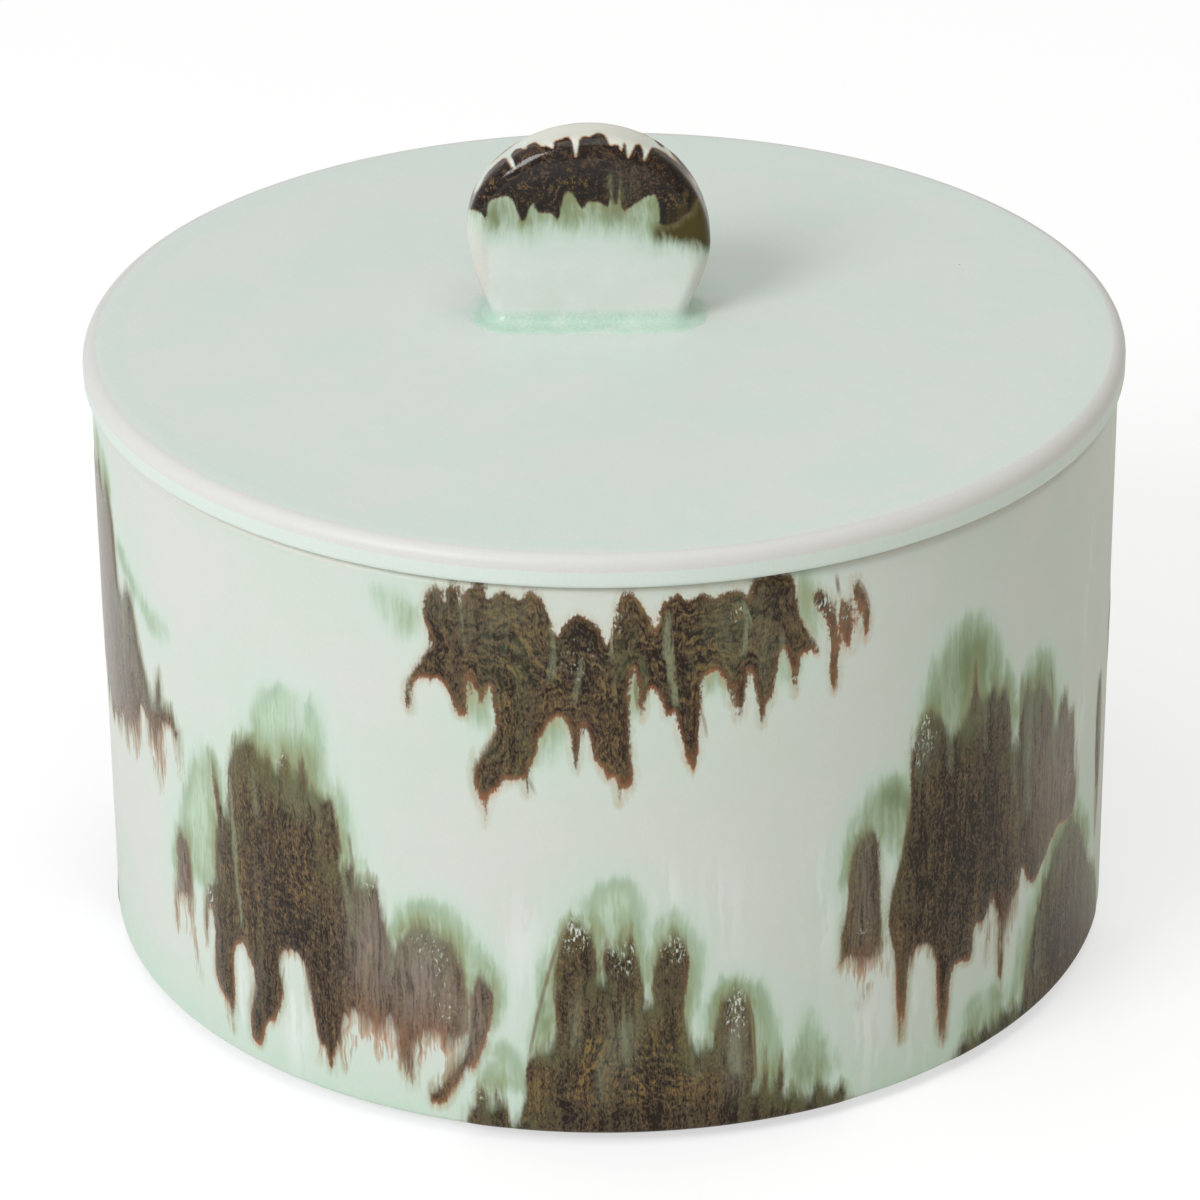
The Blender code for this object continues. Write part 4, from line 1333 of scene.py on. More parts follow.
@dataclass(frozen=True)
class DripFinish(CeladonFinish):
    """Brown and green run glaze over a ground of celadon glaze.

    Attributes:
        mossy: Its colour where moss green glaze runs into it.
        shade: The brown glaze's dark specks.
        body: Its middle colour.
        light: Its light specks.
        ragged: How ragged the brown glaze's edges are.
        length: Length of its fibres over that on the wall.
        tone: How much lighter its grain is.
        brown_roughness: The brown glaze's roughness, without its sheen.
        rim: Width of its rusty edge in mm.
        olive: How far its upper edge turns olive.
        rusty: How rusty its edges are.
        crest: How orange its upper edge is.
        bleed: How far its olive bleeds into the green glaze.
        curl: How far its grain follows its outline.
        shine: The shader's specular level.
        index: The shader's index of refraction.
        ground_height: The ground's height over that of the brown glaze.
    """

    pale: Colour = srgb(205, 209, 204)
    deep: Colour = srgb(189, 210, 195)
    thin: Colour = srgb(220, 216, 209)
    amount: float = 0.35
    roughness: float = 0.3
    relief: float = 0.16 * MM
    bump: float = 0.7
    speck: Colour = srgb(110, 104, 84)
    speck_spacing: float = 8.0
    speck_size: float = 0.26
    speck_share: float = 0.22
    speck_strength: float = 0.45
    mossy: Colour = srgb(110, 124, 84)
    shade: Colour = srgb(32, 22, 15)
    body: Colour = srgb(80, 65, 47)
    light: Colour = srgb(113, 95, 63)
    ragged: float = 1.0
    length: float = 1.0
    tone: float = 0.0
    brown_roughness: float = 0.12
    rim: float = 1.2
    olive: float = 1.0
    rusty: float = 1.0
    crest: float = 0.0
    bleed: float = 0.5
    curl: float = 0.0
    shine: float = 0.5
    index: float = 1.3
    ground_height: float = 0.9

    def feeds(self, graph: Graph) -> dict[str, Any]:
        """Lay the glazes in a material's graph.

        Args:
            graph: The graph.

        Returns:
            What feeds its shader.
        """
        ground, rough, height = self.glazed(graph)
        own = ("mossy", "shade", "body", "light", "ragged", "length", "tone", "rim", "olive", "rusty", "crest", "bleed",
               "curl")
        drips = graph.group(
            graph.effects.drips, ground=ground, **{name: getattr(self, name) for name in own},
            **{mark.name.lower(): graph.mark(mark) for mark in DRAWN_MARKS},
        )
        cover = drips["Cover"]
        return {
            "Base_Color": drips["Color"],
            "Roughness": rough * (1.0 - cover) + (drips["Sheen"] + self.brown_roughness) * cover,
            "Normal": graph.bump(drips["Height"] + height * self.ground_height, self.relief, self.bump),
            "Specular_IOR_Level": self.shine,
            "IOR": self.index,
        }


@dataclass(frozen=True)
class ClayFinish(Finish):
    """Matte unglazed stoneware.

    Attributes:
        light: Its light colour.
        dark: Its toasted colour.
        speck: The colour of its specks.
        speck_strength: How strong they are.
        roughness: Its least roughness.
        relief: Height of its sand in metres.
        bump: How strong it is.
    """

    light: Colour = srgb(206, 190, 166)
    dark: Colour = srgb(164, 132, 100)
    speck: Colour = srgb(70, 52, 40)
    speck_strength: float = 0.7
    roughness: float = 0.65
    relief: float = 0.12 * MM
    bump: float = 0.8

    def feeds(self, graph: Graph) -> dict[str, Any]:
        """Lay the clay in a material's graph.

        Args:
            graph: The graph.

        Returns:
            What feeds its shader.
        """
        place = graph.object_mm()
        toast = graph.noise(place, 0.09, 3.0, 0.6)
        sand = graph.noise(place, 2.6, 3.0, 0.65)
        speck = graph.group(graph.effects.specks, spacing=2.2, size=0.5, share=0.5)["Speck"]
        return {
            "Base_Color": graph.blend(
                self.light, (graph.step(toast, 0.35, 0.65), self.dark), (speck * self.speck_strength, self.speck)),
            "Roughness": sand * 0.2 + self.roughness,
            "Normal": graph.bump(sand + speck * -0.5, self.relief, self.bump),
        }


@dataclass(frozen=True)
class FloorFinish(Finish):
    """The studio's plain pale floor, whose colour for the light that it throws back is painted darker on the right as a
    shadow.

    Attributes:
        colour: The colour of its glow.
        seen: Its own colour.
        cloud: The colour of its faint clouds.
        thrown: The colour of the light that it throws on the jar's left side.
        painted_shadow_right: The same for the right side.
        turn: How far left and right of the jar, in mm, the one turns into the other.
        glow: How much it is lit from below, as a lit table is.
        roughness: Its roughness.
        shine: The shader's specular level.
    """

    colour: Colour = srgb(251, 251, 252)
    seen: Colour = srgb(176, 176, 177)
    cloud: Colour = srgb(160, 160, 158)
    thrown: Colour = srgb(254, 254, 253)
    painted_shadow_right: Colour = srgb(238, 237, 232)
    turn: Point = (-60.0, 90.0)
    glow: float = 0.62
    roughness: float = 0.9
    shine: float = 0.1

    def feeds(self, graph: Graph) -> dict[str, Any]:
        """Lay the paper in a material's graph.

        Args:
            graph: The graph.

        Returns:
            What feeds its shader.
        """
        place = graph.object_mm()
        seen = graph.blend(self.seen, (graph.noise(place, 0.02) * 0.03, self.cloud))
        # Painted shadow: the colour that the floor throws back and shows in reflections darkens towards the right,
        # where the jar's shadow falls
        thrown = graph.blend(self.thrown, (graph.step(graph.split(place)[0], *self.turn), self.painted_shadow_right))
        camera = graph.out(graph.add("LightPath"), "Is Camera Ray")
        return {
            "Base_Color": graph.blend(thrown, (camera, seen)),
            "Emission_Color": graph.blend((0.0, 0.0, 0.0, 1.0), (camera, self.colour)),
            "Emission_Strength": self.glow,
            "Roughness": self.roughness,
            "Specular_IOR_Level": self.shine,
        }


# Sub-assemblies


def settle(piece: bpy.types.Object, body: Body, slot: Slot, node: str, material: bpy.types.Material) -> None:
    """Dress a piece, attach it to its body and hide the CAD node that it replaces.

    Args:
        piece: The piece.
        body: The body that it rides on.
        slot: The record's material slot. Not used.
        node: The CAD node that it replaces.
        material: Its material.
    """
    piece.data.materials.append(material)
    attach(piece, body.value)
    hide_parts(node)
    log.info("%s: %d points, %d faces", piece.name, len(piece.data.vertices), len(piece.data.polygons))


@dataclass
class Jar:
    """The cup and its turned foot.

    Attributes:
        effects: The shared node groups.
        wall: Wall thickness.
        floor: Base thickness.
        rim_round: Radii of the rim outside and inside.
        base_round: Radius under the wall.
        inside_round: Radius between wall and floor inside.
        foot_width: Width of the foot ring.
        foot_round: Radius of its lower edges.
        relief: Thickness of the brown glaze over the ground.
        relief_edge: Depths in mm inside its outline between which it thickens.
        wobble: Unevenness of the thrown wall.
        wall_waves: Its waves.
        rim_thin: Distances from the rim's top between which the glaze thins.
        rim_strength: How thin it gets.
        low_pool: Heights between which the glaze outside deepens.
        floor_pool: The same inside.
        columns: Points round the cup.
        wall_rows: Rows of points up the wall.
        round_steps: Steps round the base's edge, the rim outside and inside, and the inside's corner.
        flat_steps: Steps under the base and over the floor.
        inside_steps: Steps down the inside.
        foot_columns: Points round the foot.
        foot_steps: Steps round each of its edges, and between them.
    """

    effects: Effects
    wall: float = 5.0 * MM
    floor: float = 6.0 * MM
    rim_round: Point = (1.8 * MM, 1.4 * MM)
    base_round: float = 1.2 * MM
    inside_round: float = 6.0 * MM
    foot_width: float = 7.0 * MM
    foot_round: float = 0.6 * MM
    relief: float = 0.16 * MM
    relief_edge: Point = (-0.2, 2.2)
    wobble: float = 0.1 * MM
    wall_waves: Waves = Waves(11, (2, 3, 5, 7, 11))
    rim_thin: Point = (1.9 * MM, 0.3 * MM)
    rim_strength: float = 0.8
    low_pool: Point = (20 * MM, 3 * MM)
    floor_pool: Point = (18 * MM, 9 * MM)
    columns: int = 640
    wall_rows: int = 106
    round_steps: Counts = (5, 6, 5, 7)
    flat_steps: int = 5
    inside_steps: int = 8
    foot_columns: int = 240
    foot_steps: Counts = (5, 4)

    def cup(self) -> None:
        """Build and dress the cup."""
        low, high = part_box("jar_body")
        radius, mouth = high[0], high[0] - self.wall
        outer, inner = self.rim_round
        floor_z = low[2] + self.floor
        start, end, steps = (0.0, low[2]), (0.0, floor_z), self.round_steps
        base = arc(radius - self.base_round, low[2] + self.base_round, self.base_round, -90, 0, steps[0])
        rim = arc(radius - outer, high[2] - outer, outer, 0, 90, steps[1])
        lip = arc(mouth + inner, high[2] - inner, inner, 90, 180, steps[2])
        bowl = arc(mouth - self.inside_round, floor_z + self.inside_round, self.inside_round, 0, -90, steps[3])
        profile = [start, *span(start, base[0], self.flat_steps), *base, *span(base[-1], rim[0], self.wall_rows)]
        profile += [*rim, *lip, *span(lip[-1], bowl[0], self.inside_steps), *bowl]
        shape = Turned([*profile, *span(bowl[-1], end, self.flat_steps), end], self.columns)
        turn, out, height = shape.turn, shape.out, shape.height
        outside = (out > radius - outer) & (height >= low[2])
        up = (height - low[2] - np.maximum(radius - self.base_round - out, 0.0)) / MM
        marks = GlazeMap(DRAWN_SPLASHES + BACK_SPLASHES, turn, up, math.radians(1.0) * radius / MM, 360.0).marks()
        marks = {mark: np.where(outside, value, OUTSIDE.get(mark, 0.0)) for mark, value in marks.items()}
        marks[Mark.ARRIS] = outside * smoothstep(np.abs(height - high[2]), *self.rim_thin) * self.rim_strength
        marks[Mark.POOL] = np.where(
            outside, smoothstep(height, *self.low_pool), smoothstep(height, *self.floor_pool))
        thick = smoothstep(marks[Mark.BROWN], *self.relief_edge) * self.relief
        uneven = self.wall_waves.at(turn, height) * self.wobble * (out > radius - outer)
        made = shape.build("glazed_cup", marks, thick + uneven)
        settle(made, Body.JAR, Slot.DRIP, "jar_body", DripFinish("cup_glaze").material(self.effects))

    def foot(self) -> None:
        """Build and dress the foot ring."""
        low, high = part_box("foot_ring")
        outer, edge = high[0], self.foot_round
        inner = outer - self.foot_width
        round_steps, flat_steps = self.foot_steps
        profile = [(inner, high[2]), *arc(inner + edge, low[2] + edge, edge, 180, 270, round_steps)]
        profile += span((inner + edge, low[2]), (outer - edge, low[2]), flat_steps)
        profile += [*arc(outer - edge, low[2] + edge, edge, 270, 360, round_steps), (outer, high[2])]
        made = Turned(profile, self.foot_columns, closed=True).build("turned_foot", {})
        settle(made, Body.JAR, Slot.CLAY, "foot_ring", ClayFinish("foot_clay").material(self.effects))

    def build(self) -> None:
        """Build every piece of the jar."""
        self.cup()
        self.foot()


@dataclass
class Lid:
    """The lid's disc, its locating ring and its knob.

    Attributes:
        effects: The shared node groups.
        knob: The knob.
        top_round: Radius of the disc's upper edge.
        bottom_round: Radius of its lower edge.
        flange_width: Thickness of the locating ring.
        flange_round: Radius of its lower edges.
        sag: How far the disc's upper surface dips.
        sag_waves: Its waves.
        sag_spread: How much faster these lean across the lid than up a wall.
        sag_share: Its even share.
        sag_edge: How far in from the rounded edge it is full.
        sag_clear: Gaps from the knob's fillet between which it grows.
        edge_width: How far in from the edge the disc is out of round.
        edge_depth: How far it is out of round.
        edge_waves: The waves of that.
        wander: How far the lines of glaze along the edge wander.
        wander_waves: Their waves.
        edge_line: How far in from the edge the glaze is thinnest.
        edge_band: Distances from this line between which it thins.
        band_depth: How far down the thin glaze reaches, over the upper edge's radius.
        foot_line: How far from the knob's fillet the glaze is thin.
        foot_band: Distances from this line between which it thins.
        pool_line: How far in from the edge the glaze gathers.
        pool_band: Distances from this line between which it deepens.
        side_pool: Depths down the side between which it deepens, over the upper edge's radius.
        side_width: How far in from the edge this is.
        foot_pool: How far from the knob's fillet the glaze gathers.
        strengths: How strong the foot's line, the edge's pool, the side's pool and the foot's pool are.
        ring_thin: Heights on the locating ring between which its glaze thins.
        columns: Points round the disc.
        disc_steps: Steps under the disc, round its lower edge, up its side, round its upper edge and over it.
        ring_columns: Points round the locating ring.
        ring_steps: Steps up its sides and round its lower edges.
    """

    effects: Effects
    knob: "Knob"
    top_round: float = 2.4 * MM
    bottom_round: float = 1.0 * MM
    flange_width: float = 4.5 * MM
    flange_round: float = 1.4 * MM
    sag: float = 0.25 * MM
    sag_waves: Waves = Waves(5, (2, 3, 4, 6))
    sag_spread: float = 3.0
    sag_share: float = 0.6
    sag_edge: float = 14 * MM
    sag_clear: Point = (1.0 * MM, 16.0 * MM)
    edge_width: float = 4 * MM
    edge_depth: float = 0.12 * MM
    edge_waves: Waves = Waves(7, (3, 5, 8))
    wander: float = 0.25 * MM
    wander_waves: Waves = Waves(9, (3, 5, 9, 14))
    edge_line: float = 1.0 * MM
    edge_band: Point = (1.9 * MM, 0.7 * MM)
    band_depth: float = 1.1
    foot_line: float = 0.9 * MM
    foot_band: Point = (1.0 * MM, 0.1 * MM)
    pool_line: float = 5.5 * MM
    pool_band: Point = (3.0 * MM, 0.4 * MM)
    side_pool: Point = (0.8, 1.3)
    side_width: float = 2 * MM
    foot_pool: float = 3.5 * MM
    strengths: tuple[float, ...] = (0.7, 0.6, 0.5, 0.3)
    ring_thin: Point = (1.6 * MM, 0.4 * MM)
    columns: int = 600
    disc_steps: Counts = (8, 5, 4, 8, 46)
    ring_columns: int = 360
    ring_steps: Counts = (5, 6)

    def disc(self) -> None:
        """Build and dress the disc."""
        low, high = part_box("lid_plate")
        radius, upper, lower = high[0], self.top_round, self.bottom_round
        start, end, steps = (0.0, low[2]), (0.0, high[2]), self.disc_steps
        bottom = arc(radius - lower, low[2] + lower, lower, -90, 0, steps[1])
        top = arc(radius - upper, high[2] - upper, upper, 0, 90, steps[3])
        profile = [start, *span(start, bottom[0], steps[0]), *bottom, *span(bottom[-1], top[0], steps[2]), *top]
        shape = Turned([*profile, *span(top[-1], end, steps[4]), end], self.columns)
        turn, out, height = shape.turn, shape.out, shape.height
        over = height > high[2] - upper * 0.999
        wavy_dip = self.sag_share + (1.0 - self.sag_share) * self.sag_waves.at(turn, out * self.sag_spread)
        dip = (over & (out < radius - upper)) * self.sag * wavy_dip
        dip *= smoothstep(out, radius - upper, radius - upper - self.sag_edge)
        inward = (out > radius - self.edge_width) * -np.abs(self.edge_waves.at(turn)) * self.edge_depth
        gap = self.knob.foot_gap(out * np.sin(np.radians(turn)), -out * np.cos(np.radians(turn)))
        inset = radius - out - self.wander_waves.at(turn) * self.wander
        foot_line, edge_pool, side_pool, foot_pool = self.strengths
        banded = height > high[2] - upper * self.band_depth
        thin = smoothstep(np.abs(inset - self.edge_line), *self.edge_band) * banded
        thin += smoothstep(np.abs(gap - self.foot_line), *self.foot_band) * over * foot_line
        pool = smoothstep(np.abs(inset - self.pool_line), *self.pool_band) * over * edge_pool
        side = smoothstep(height, *(high[2] - upper * depth for depth in self.side_pool))
        side *= out > radius - self.side_width
        pool += side * side_pool + smoothstep(gap, self.foot_pool, 0.0) * over * foot_pool
        marks = {Mark.ARRIS: np.clip(thin, 0.0, 1.0), Mark.POOL: np.clip(pool, 0.0, 1.0)}
        made = shape.build("lid_disc", marks, inward, -dip * smoothstep(gap, *self.sag_clear))
        finish = CeladonFinish(
            "lid_glaze", pale=srgb(211, 218, 214), deep=srgb(199, 218, 209), thin=srgb(208, 208, 206), roughness=0.36,
        )
        settle(made, Body.LID, Slot.CELADON, "lid_plate", finish.material(self.effects))

    def locating_ring(self) -> None:
        """Build and dress the ring under the disc."""
        low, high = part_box("lid_flange")
        outer, edge = high[0], self.flange_round
        inner = outer - self.flange_width
        side_steps, round_steps = self.ring_steps
        profile = [(inner, high[2]), *span((inner, high[2]), (inner, low[2] + edge), side_steps)]
        profile += arc(inner + edge, low[2] + edge, edge, 180, 270, round_steps)
        profile += arc(outer - edge, low[2] + edge, edge, 270, 360, round_steps)
        profile += [*span((outer, low[2] + edge), (outer, high[2]), side_steps), (outer, high[2])]
        shape = Turned(profile, self.ring_columns, closed=True)
        thin = smoothstep(shape.height - low[2], *self.ring_thin)
        made = shape.build("lid_locating_ring", {Mark.ARRIS: thin})
        finish = CeladonFinish("locating_ring_glaze", pale=srgb(214, 221, 213), roughness=0.4)
        settle(made, Body.LID, Slot.CELADON, "lid_flange", finish.material(self.effects))

    def build(self) -> None:
        """Build every piece of the lid."""
        self.disc()
        self.locating_ring()
        self.knob.build()


@dataclass
class Knob:
    """The upright disc knob with its filleted foot.

    Attributes:
        effects: The shared node groups.
        width: Its width at the belly.
        draw_in: How much narrower each side is at the foot.
        belly: Height of the belly.
        crown: Height of the crown over the belly.
        thickness: Its thickness.
        edge: Radius of its edges.
        swell: How far its faces swell.
        fillet: Radius of the fillet at its foot.
        offset: Where it stands on the lid.
        taper: Power of its narrowing below the belly.
        lean: How much higher the belly's left side is than the right, per width.
        view_slope: Fall of the view line per depth, which the drawn band is read along.
        pool_slope: The share of this fall for the moss green pool.
        skirt: How far the glaze runs out over the lid round the foot.
        skirt_shares: How far out each ring of the skirt lies, over that.
        sink: How far it reaches down, through the clay joint, to the lid.
        sides_meet: Places to the back between which the back's band takes over.
        foot_pool: Heights in mm between which the glaze deepens at the foot.
        skirt_pool: Heights in mm between which it fades on the skirt.
        skirt_share: The share that is left there.
        thin_sides: Places in mm, out from the sides, between which the glaze thins.
        thin_from: Heights in mm between which this begins.
        thin_until: Heights in mm between which it ends.
        thin_top: Heights in mm between which the glaze thins at the top.
        moss_share: The share of the drawn moss green that shows.
        moss_edge: Depths in mm inside the moss green pool between which it grows.
        moss_pool: How strong the pool is.
        weld: Distance within which points along the top are joined.
        corner_steps: Steps round each edge.
        rim_steps: Steps between the front and the back edge.
        face_steps: Steps across each face.
        level_steps: Steps up the fillet, up to the belly and up to the top.
    """

    effects: Effects
    width: float = 42.0 * MM
    draw_in: float = 4.8 * MM
    belly: float = 14.5 * MM
    crown: float = 19.4 * MM
    thickness: float = 10.5 * MM
    edge: float = 3.0 * MM
    swell: float = 0.5 * MM
    fillet: float = 3.1 * MM
    offset: Point = (-2.5 * MM, 5.8 * MM)
    taper: float = 1.6
    lean: float = 0.048
    view_slope: float = 0.51
    pool_slope: float = 0.5
    skirt: float = 1.3 * MM
    skirt_shares: tuple[float, ...] = (2.0, 1.5, 1.0, 0.5)
    sink: float = 0.33 * MM
    sides_meet: Point = (-1.5 * MM, 2.5 * MM)
    foot_pool: Point = (3.4, 1.2)
    skirt_pool: Point = (-0.6, -0.05)
    skirt_share: float = 0.35
    thin_sides: Point = (-5.2, -2.2)
    thin_from: Point = (2.0, 6.0)
    thin_until: Point = (24.0, 16.0)
    thin_top: Point = (30.5, 32.0)
    moss_share: float = 0.6
    moss_edge: Point = (-1.8, 0.4)
    moss_pool: float = 1.2
    weld: float = 0.002 * MM
    corner_steps: int = 10
    rim_steps: int = 6
    face_steps: int = 58
    level_steps: Counts = (10, 34, 76)

    def outline(self, level: float, inset: float) -> Point:
        """Give the half width and height of the disc's outline.

        Args:
            level: 0 at the foot, 1 at the belly and 2 at the top.
            inset: How far the outline is drawn in.

        Returns:
            The half width and the height.
        """
        half = self.width / 2 - inset
        if level < 1.0:
            return half - self.draw_in * (1.0 - level) ** self.taper, self.belly * level
        angle = math.radians(90.0) * (level - 1.0)
        return half * math.cos(angle), self.belly + (self.crown - inset) * math.sin(angle)

    def flare(self, height: float) -> float:
        """Give how far the fillet stands out at a height over the foot."""
        return self.fillet - math.sqrt(self.fillet ** 2 - max(self.fillet - height, 0.0) ** 2)

    def corner(self, level: float, side_x: int, side_y: int, start: float) -> list[Place]:
        """List the points round one rounded edge at a level.

        Args:
            level: The level.
            side_x: -1 for the left side and 1 for the right.
            side_y: -1 for the front and 1 for the back.
            start: The first angle in degrees.

        Returns:
            The points, from the knob's middle.
        """
        points = []
        for step in range(self.corner_steps + 1):
            angle = math.radians(start + 90.0 * step / self.corner_steps)
            half, height = self.outline(level, self.edge * (1.0 - abs(math.cos(angle))))
            depth = self.thickness / 2 - self.edge + self.edge * abs(math.sin(angle))
            flare = self.flare(height)
            points.append((side_x * half + flare * math.cos(angle), side_y * depth + flare * math.sin(angle), height))
        return points

    def face(self, level: float, start: Place, end: Place) -> list[Place]:
        """List the points across a broad face between its edges.

        Args:
            level: The level.
            start: The last point of the edge before.
            end: The first point of the edge after.

        Returns:
            The points, from the knob's middle.
        """
        swell = math.copysign(self.swell * math.sin(math.radians(90.0) * level) * 4.0, start[1])
        points = []
        for step in range(1, self.face_steps):
            share = step / self.face_steps
            points.append((start[0] + (end[0] - start[0]) * share, start[1] + swell * share * (1.0 - share), start[2]))
        return points

    def section(self, level: float) -> list[Place]:
        """List the closed ring of points at a level.

        Args:
            level: 0 at the foot, 1 at the belly and 2 at the top.

        Returns:
            The points, from the knob's middle.
        """
        sides = ((1, -1, 270.0), (1, 1, 0.0), (-1, 1, 90.0), (-1, -1, 180.0))
        first, second, third, fourth = (self.corner(level, *side) for side in sides)
        right, left = (span(a[-1], b[0], self.rim_steps) for a, b in ((first, second), (third, fourth)))
        back, front = (self.face(level, a[-1], b[0]) for a, b in ((second, third), (fourth, first)))
        return first + right + second + back + third + left + fourth + front

    def levels(self) -> list[float]:
        """List the levels of the sections.

        Returns:
            The levels, close together in the fillet and near the top.
        """
        low, middle, high = self.level_steps
        fillet = self.fillet / self.belly
        levels = [fillet * (1.0 - math.cos(math.radians(90.0) * step / low)) for step in range(low)]
        levels += [fillet + (1.0 - fillet) * step / middle for step in range(middle)]
        return levels + [1.0 + math.sin(math.radians(90.0) * step / high) for step in range(high + 1)]

    def foot_gap(self, x: Array, y: Array) -> Array:
        """Measure the gap from places on the lid to the edge of the fillet.

        Args:
            x: Places to the right.
            y: Places to the back.

        Returns:
            The gap in metres, below 0 under the knob.
        """
        half = self.width / 2 - self.draw_in - self.edge
        out_x = np.maximum(np.abs(x - self.offset[0]) - half, 0.0)
        out_y = np.maximum(np.abs(y - self.offset[1]) - (self.thickness / 2 - self.edge), 0.0)
        return np.hypot(out_x, out_y) - self.edge - self.fillet

    def marks(self, points: Array) -> Marks:
        """Work out the glaze of the knob.

        Args:
            points: Points from the middle of the knob's foot.

        Returns:
            The values of each mark.
        """
        x, height = points[:, 0] / MM, points[:, 2] / MM
        reach = self.thickness / 2 + self.swell
        behind, before = ((reach + side * points[:, 1]) / MM * self.view_slope for side in (1.0, -1.0))
        seen = GlazeMap((KNOB_BAND,), x, height + behind).marks()
        hidden = GlazeMap((KNOB_BACK_BAND,), x, height + before).marks()
        share = smoothstep(points[:, 1], *self.sides_meet)
        result = {mark: seen[mark] * (1.0 - share) + hidden[mark] * share for mark in seen}
        pool = GlazeMap((KNOB_POOL,), x, height + behind * self.pool_slope).depth(Drawing.BROWN)
        kept = self.skirt_share + (1.0 - self.skirt_share) * smoothstep(height, *self.skirt_pool)
        result[Mark.POOL] = smoothstep(height, *self.foot_pool) * kept
        side = smoothstep(np.abs(x) - self.width / 2 / MM, *self.thin_sides)
        side *= smoothstep(height, *self.thin_from) * smoothstep(height, *self.thin_until)
        result[Mark.ARRIS] = np.clip(side + smoothstep(height, *self.thin_top), 0.0, 1.0)
        moss = smoothstep(pool, *self.moss_edge) * self.moss_pool
        result[Mark.MOSS] = np.maximum(result[Mark.MOSS] * self.moss_share, moss)
        result[Mark.GREEN] = np.maximum(result[Mark.GREEN], pool)
        return result

    def build(self) -> None:
        """Build and dress the knob."""
        low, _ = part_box("lid_knob")
        rings = np.array([self.section(level) for level in self.levels()])
        skirt = np.repeat(rings[:1], len(self.skirt_shares), axis=0)
        away = rings[0, :, :2] - rings[3, :, :2]
        away = away / np.maximum(np.linalg.norm(away, axis=1), TINY)[:, None] * self.skirt
        for ring, share in zip(skirt, self.skirt_shares):
            ring[:, :2] += away * share
            ring[:, 2] = -self.sink * share
        rings = np.concatenate([skirt, rings])
        share = rings[..., 2] / (self.belly + self.crown)
        rings[..., 2] -= self.lean * rings[..., 0] * np.sin(np.pi * np.clip(share, 0.0, 1.0)) ** 2
        count, around = rings.shape[:2]
        points = rings.reshape(-1, 3)
        faces = ring_quads(np.arange(count - 1), around, len(points)) + [list(range(around))[::-1]]
        made = mesh_object("disc_knob", points + np.array([*self.offset, low[2]]), faces)
        set_marks(made, self.marks(points))
        made.modifiers.new("top_seam", "WELD").merge_threshold = self.weld
        finish = DripFinish(
            "knob_glaze", pale=srgb(226, 229, 225), deep=srgb(178, 208, 192), mossy=srgb(70, 57, 0), amount=0.25,
            shade=srgb(18, 10, 8), body=srgb(38, 26, 21), light=srgb(82, 64, 46),
            ragged=0.5, length=0.5, rim=0.5, olive=0.0, rusty=0.3, crest=0.9, bleed=0.7, curl=0.75, index=1.42,
            roughness=0.16, brown_roughness=0.04, relief=0.04 * MM,
        )
        settle(made, Body.LID, Slot.KNOB, "lid_knob", finish.material(self.effects))


# Studio


@dataclass(frozen=True)
class Softbox:
    """A square soft light that points at the jar.

    Attributes:
        name: Its name.
        azimuth: Where it stands round the jar.
        elevation: How high it stands, in degrees over the floor.
        distance: How far away it is.
        side: Its side.
        power: Its power in watts.
    """

    name: str
    azimuth: float
    elevation: float
    distance: float
    side: float
    power: float

    def build(self, aim: Vector) -> None:
        """Make the light.

        Args:
            aim: The point it faces.
        """
        data = bpy.data.lights.new(self.name, "AREA")
        data.shape = "SQUARE"
        data.size = self.side
        data.energy = self.power
        turn, rise = math.radians(self.azimuth), math.radians(self.elevation)
        way = Vector((math.sin(turn) * math.cos(rise), -math.cos(turn) * math.cos(rise), math.sin(rise)))
        light = add_object(self.name, data)
        light.location = aim + way * self.distance
        light.rotation_mode = "QUATERNION"
        light.rotation_quaternion = way.to_track_quat("Z", "Y")


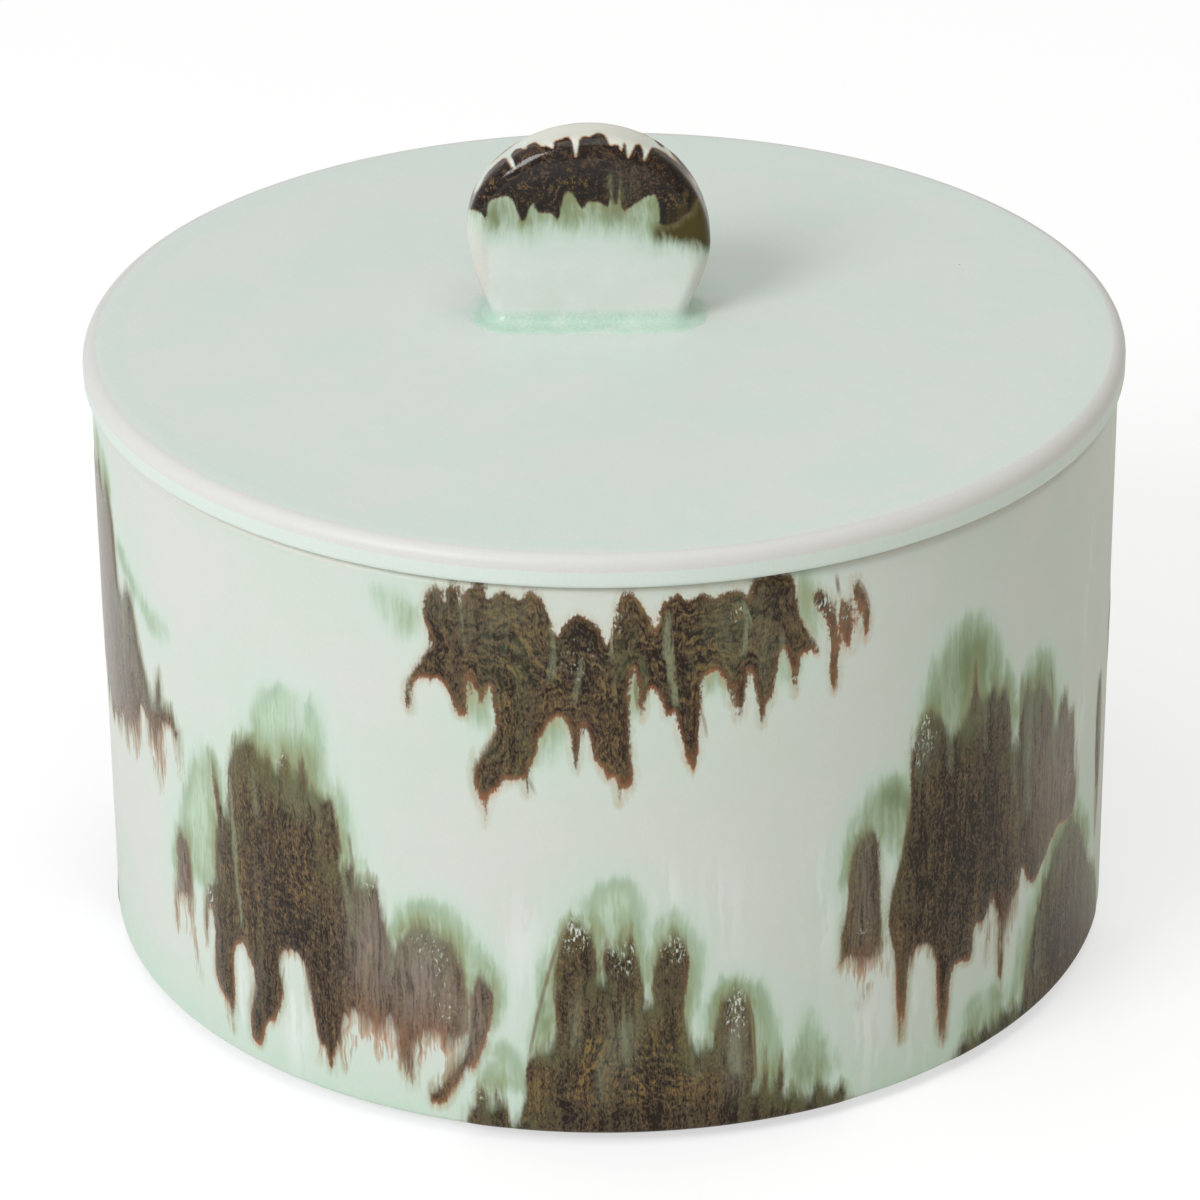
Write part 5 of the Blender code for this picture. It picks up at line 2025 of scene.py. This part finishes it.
@dataclass
class Studio:
    """The floor, the lights and the camera.

    Attributes:
        eye: Where the camera stands.
        pitch: How far it looks down, in radians.
        yaw: How far it looks to the right, in radians.
        roll: How far it is rolled, in radians.
        focal_pixels: Its focal length in pixels of the photograph.
        far: How far it sees.
        window_side: Light of the surroundings to the left.
        room_side: Light of the surroundings to the right.
        floor_side: Side of the floor.
        aim: The point that the lights face.
        softboxes: The lights.
    """

    eye: Place = (0.0, -857.06 * MM, 495.06 * MM)
    pitch: float = 0.4723
    yaw: float = -0.0013
    roll: float = 0.0092
    focal_pixels: float = 5424.55
    far: float = 50.0
    window_side: Colour = (0.56, 0.56, 0.565, 1.0)
    room_side: Colour = (0.45, 0.435, 0.38, 1.0)
    floor_side: float = 12.0
    aim: Place = (0.0, 0.0, 0.07)
    softboxes: tuple[Softbox, ...] = (
        Softbox("key_light", -44.0, 37.0, 2.2, 0.85, 23.0),
        Softbox("top_light", 20.0, 82.0, 2.2, 1.8, 14.0),
    )

    def camera(self) -> None:
        """Make the camera at the photograph's place."""
        data = bpy.data.cameras.new("view")
        data.sensor_width = SENSOR_MM
        data.lens = self.focal_pixels / PICTURE_SIDE * SENSOR_MM
        data.clip_end = self.far
        level = math.cos(self.pitch)
        ahead = Vector((math.sin(self.yaw) * level, math.cos(self.yaw) * level, -math.sin(self.pitch)))
        right = Vector((math.cos(self.yaw), -math.sin(self.yaw), 0.0))
        down = ahead.cross(right)
        across = right * math.cos(self.roll) + down * math.sin(self.roll)
        below = down * math.cos(self.roll) - right * math.sin(self.roll)
        turn = Matrix((across, -below, -ahead)).transposed()
        camera = add_object("view", data)
        camera.matrix_world = Matrix.Translation(self.eye) @ turn.to_4x4()
        bpy.context.scene.camera = camera

    def floor(self) -> None:
        """Make the floor."""
        half = self.floor_side / 2
        corners = np.array([(-half, -half, 0.0), (half, -half, 0.0), (half, half, 0.0), (-half, half, 0.0)])
        made = mesh_object("floor", corners, [[0, 1, 2, 3]])
        made.data.materials.append(FloorFinish("pale_floor").material())

    def surroundings(self) -> None:
        """Make the soft surroundings, dimmer to the right, and the plain colour response."""
        world = bpy.data.worlds.new("surroundings")
        world.use_nodes = True
        world.node_tree.nodes.clear()
        graph = Graph(world.node_tree)
        side = graph.split(graph.out(graph.add("TexCoord"), "Generated"))[0]
        light = graph.blend(self.window_side, (graph.step(side, -0.8, 0.8), self.room_side))
        graph.add("OutputWorld", Surface=graph.out(graph.add("Background", Color=light)))
        bpy.context.scene.world = world
        bpy.context.scene.view_settings.view_transform = "Standard"

    def build(self) -> None:
        """Make the whole studio."""
        self.camera()
        self.floor()
        self.surroundings()
        for softbox in self.softboxes:
            softbox.build(Vector(self.aim))


def main() -> None:
    """Build the studio and every piece."""
    logging.basicConfig(level=logging.INFO, format="%(name)s: %(message)s")
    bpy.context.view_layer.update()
    effects = Effects()
    Studio().build()
    Jar(effects).build()
    Lid(effects, Knob(effects)).build()


if __name__ == "__main__":
    main()
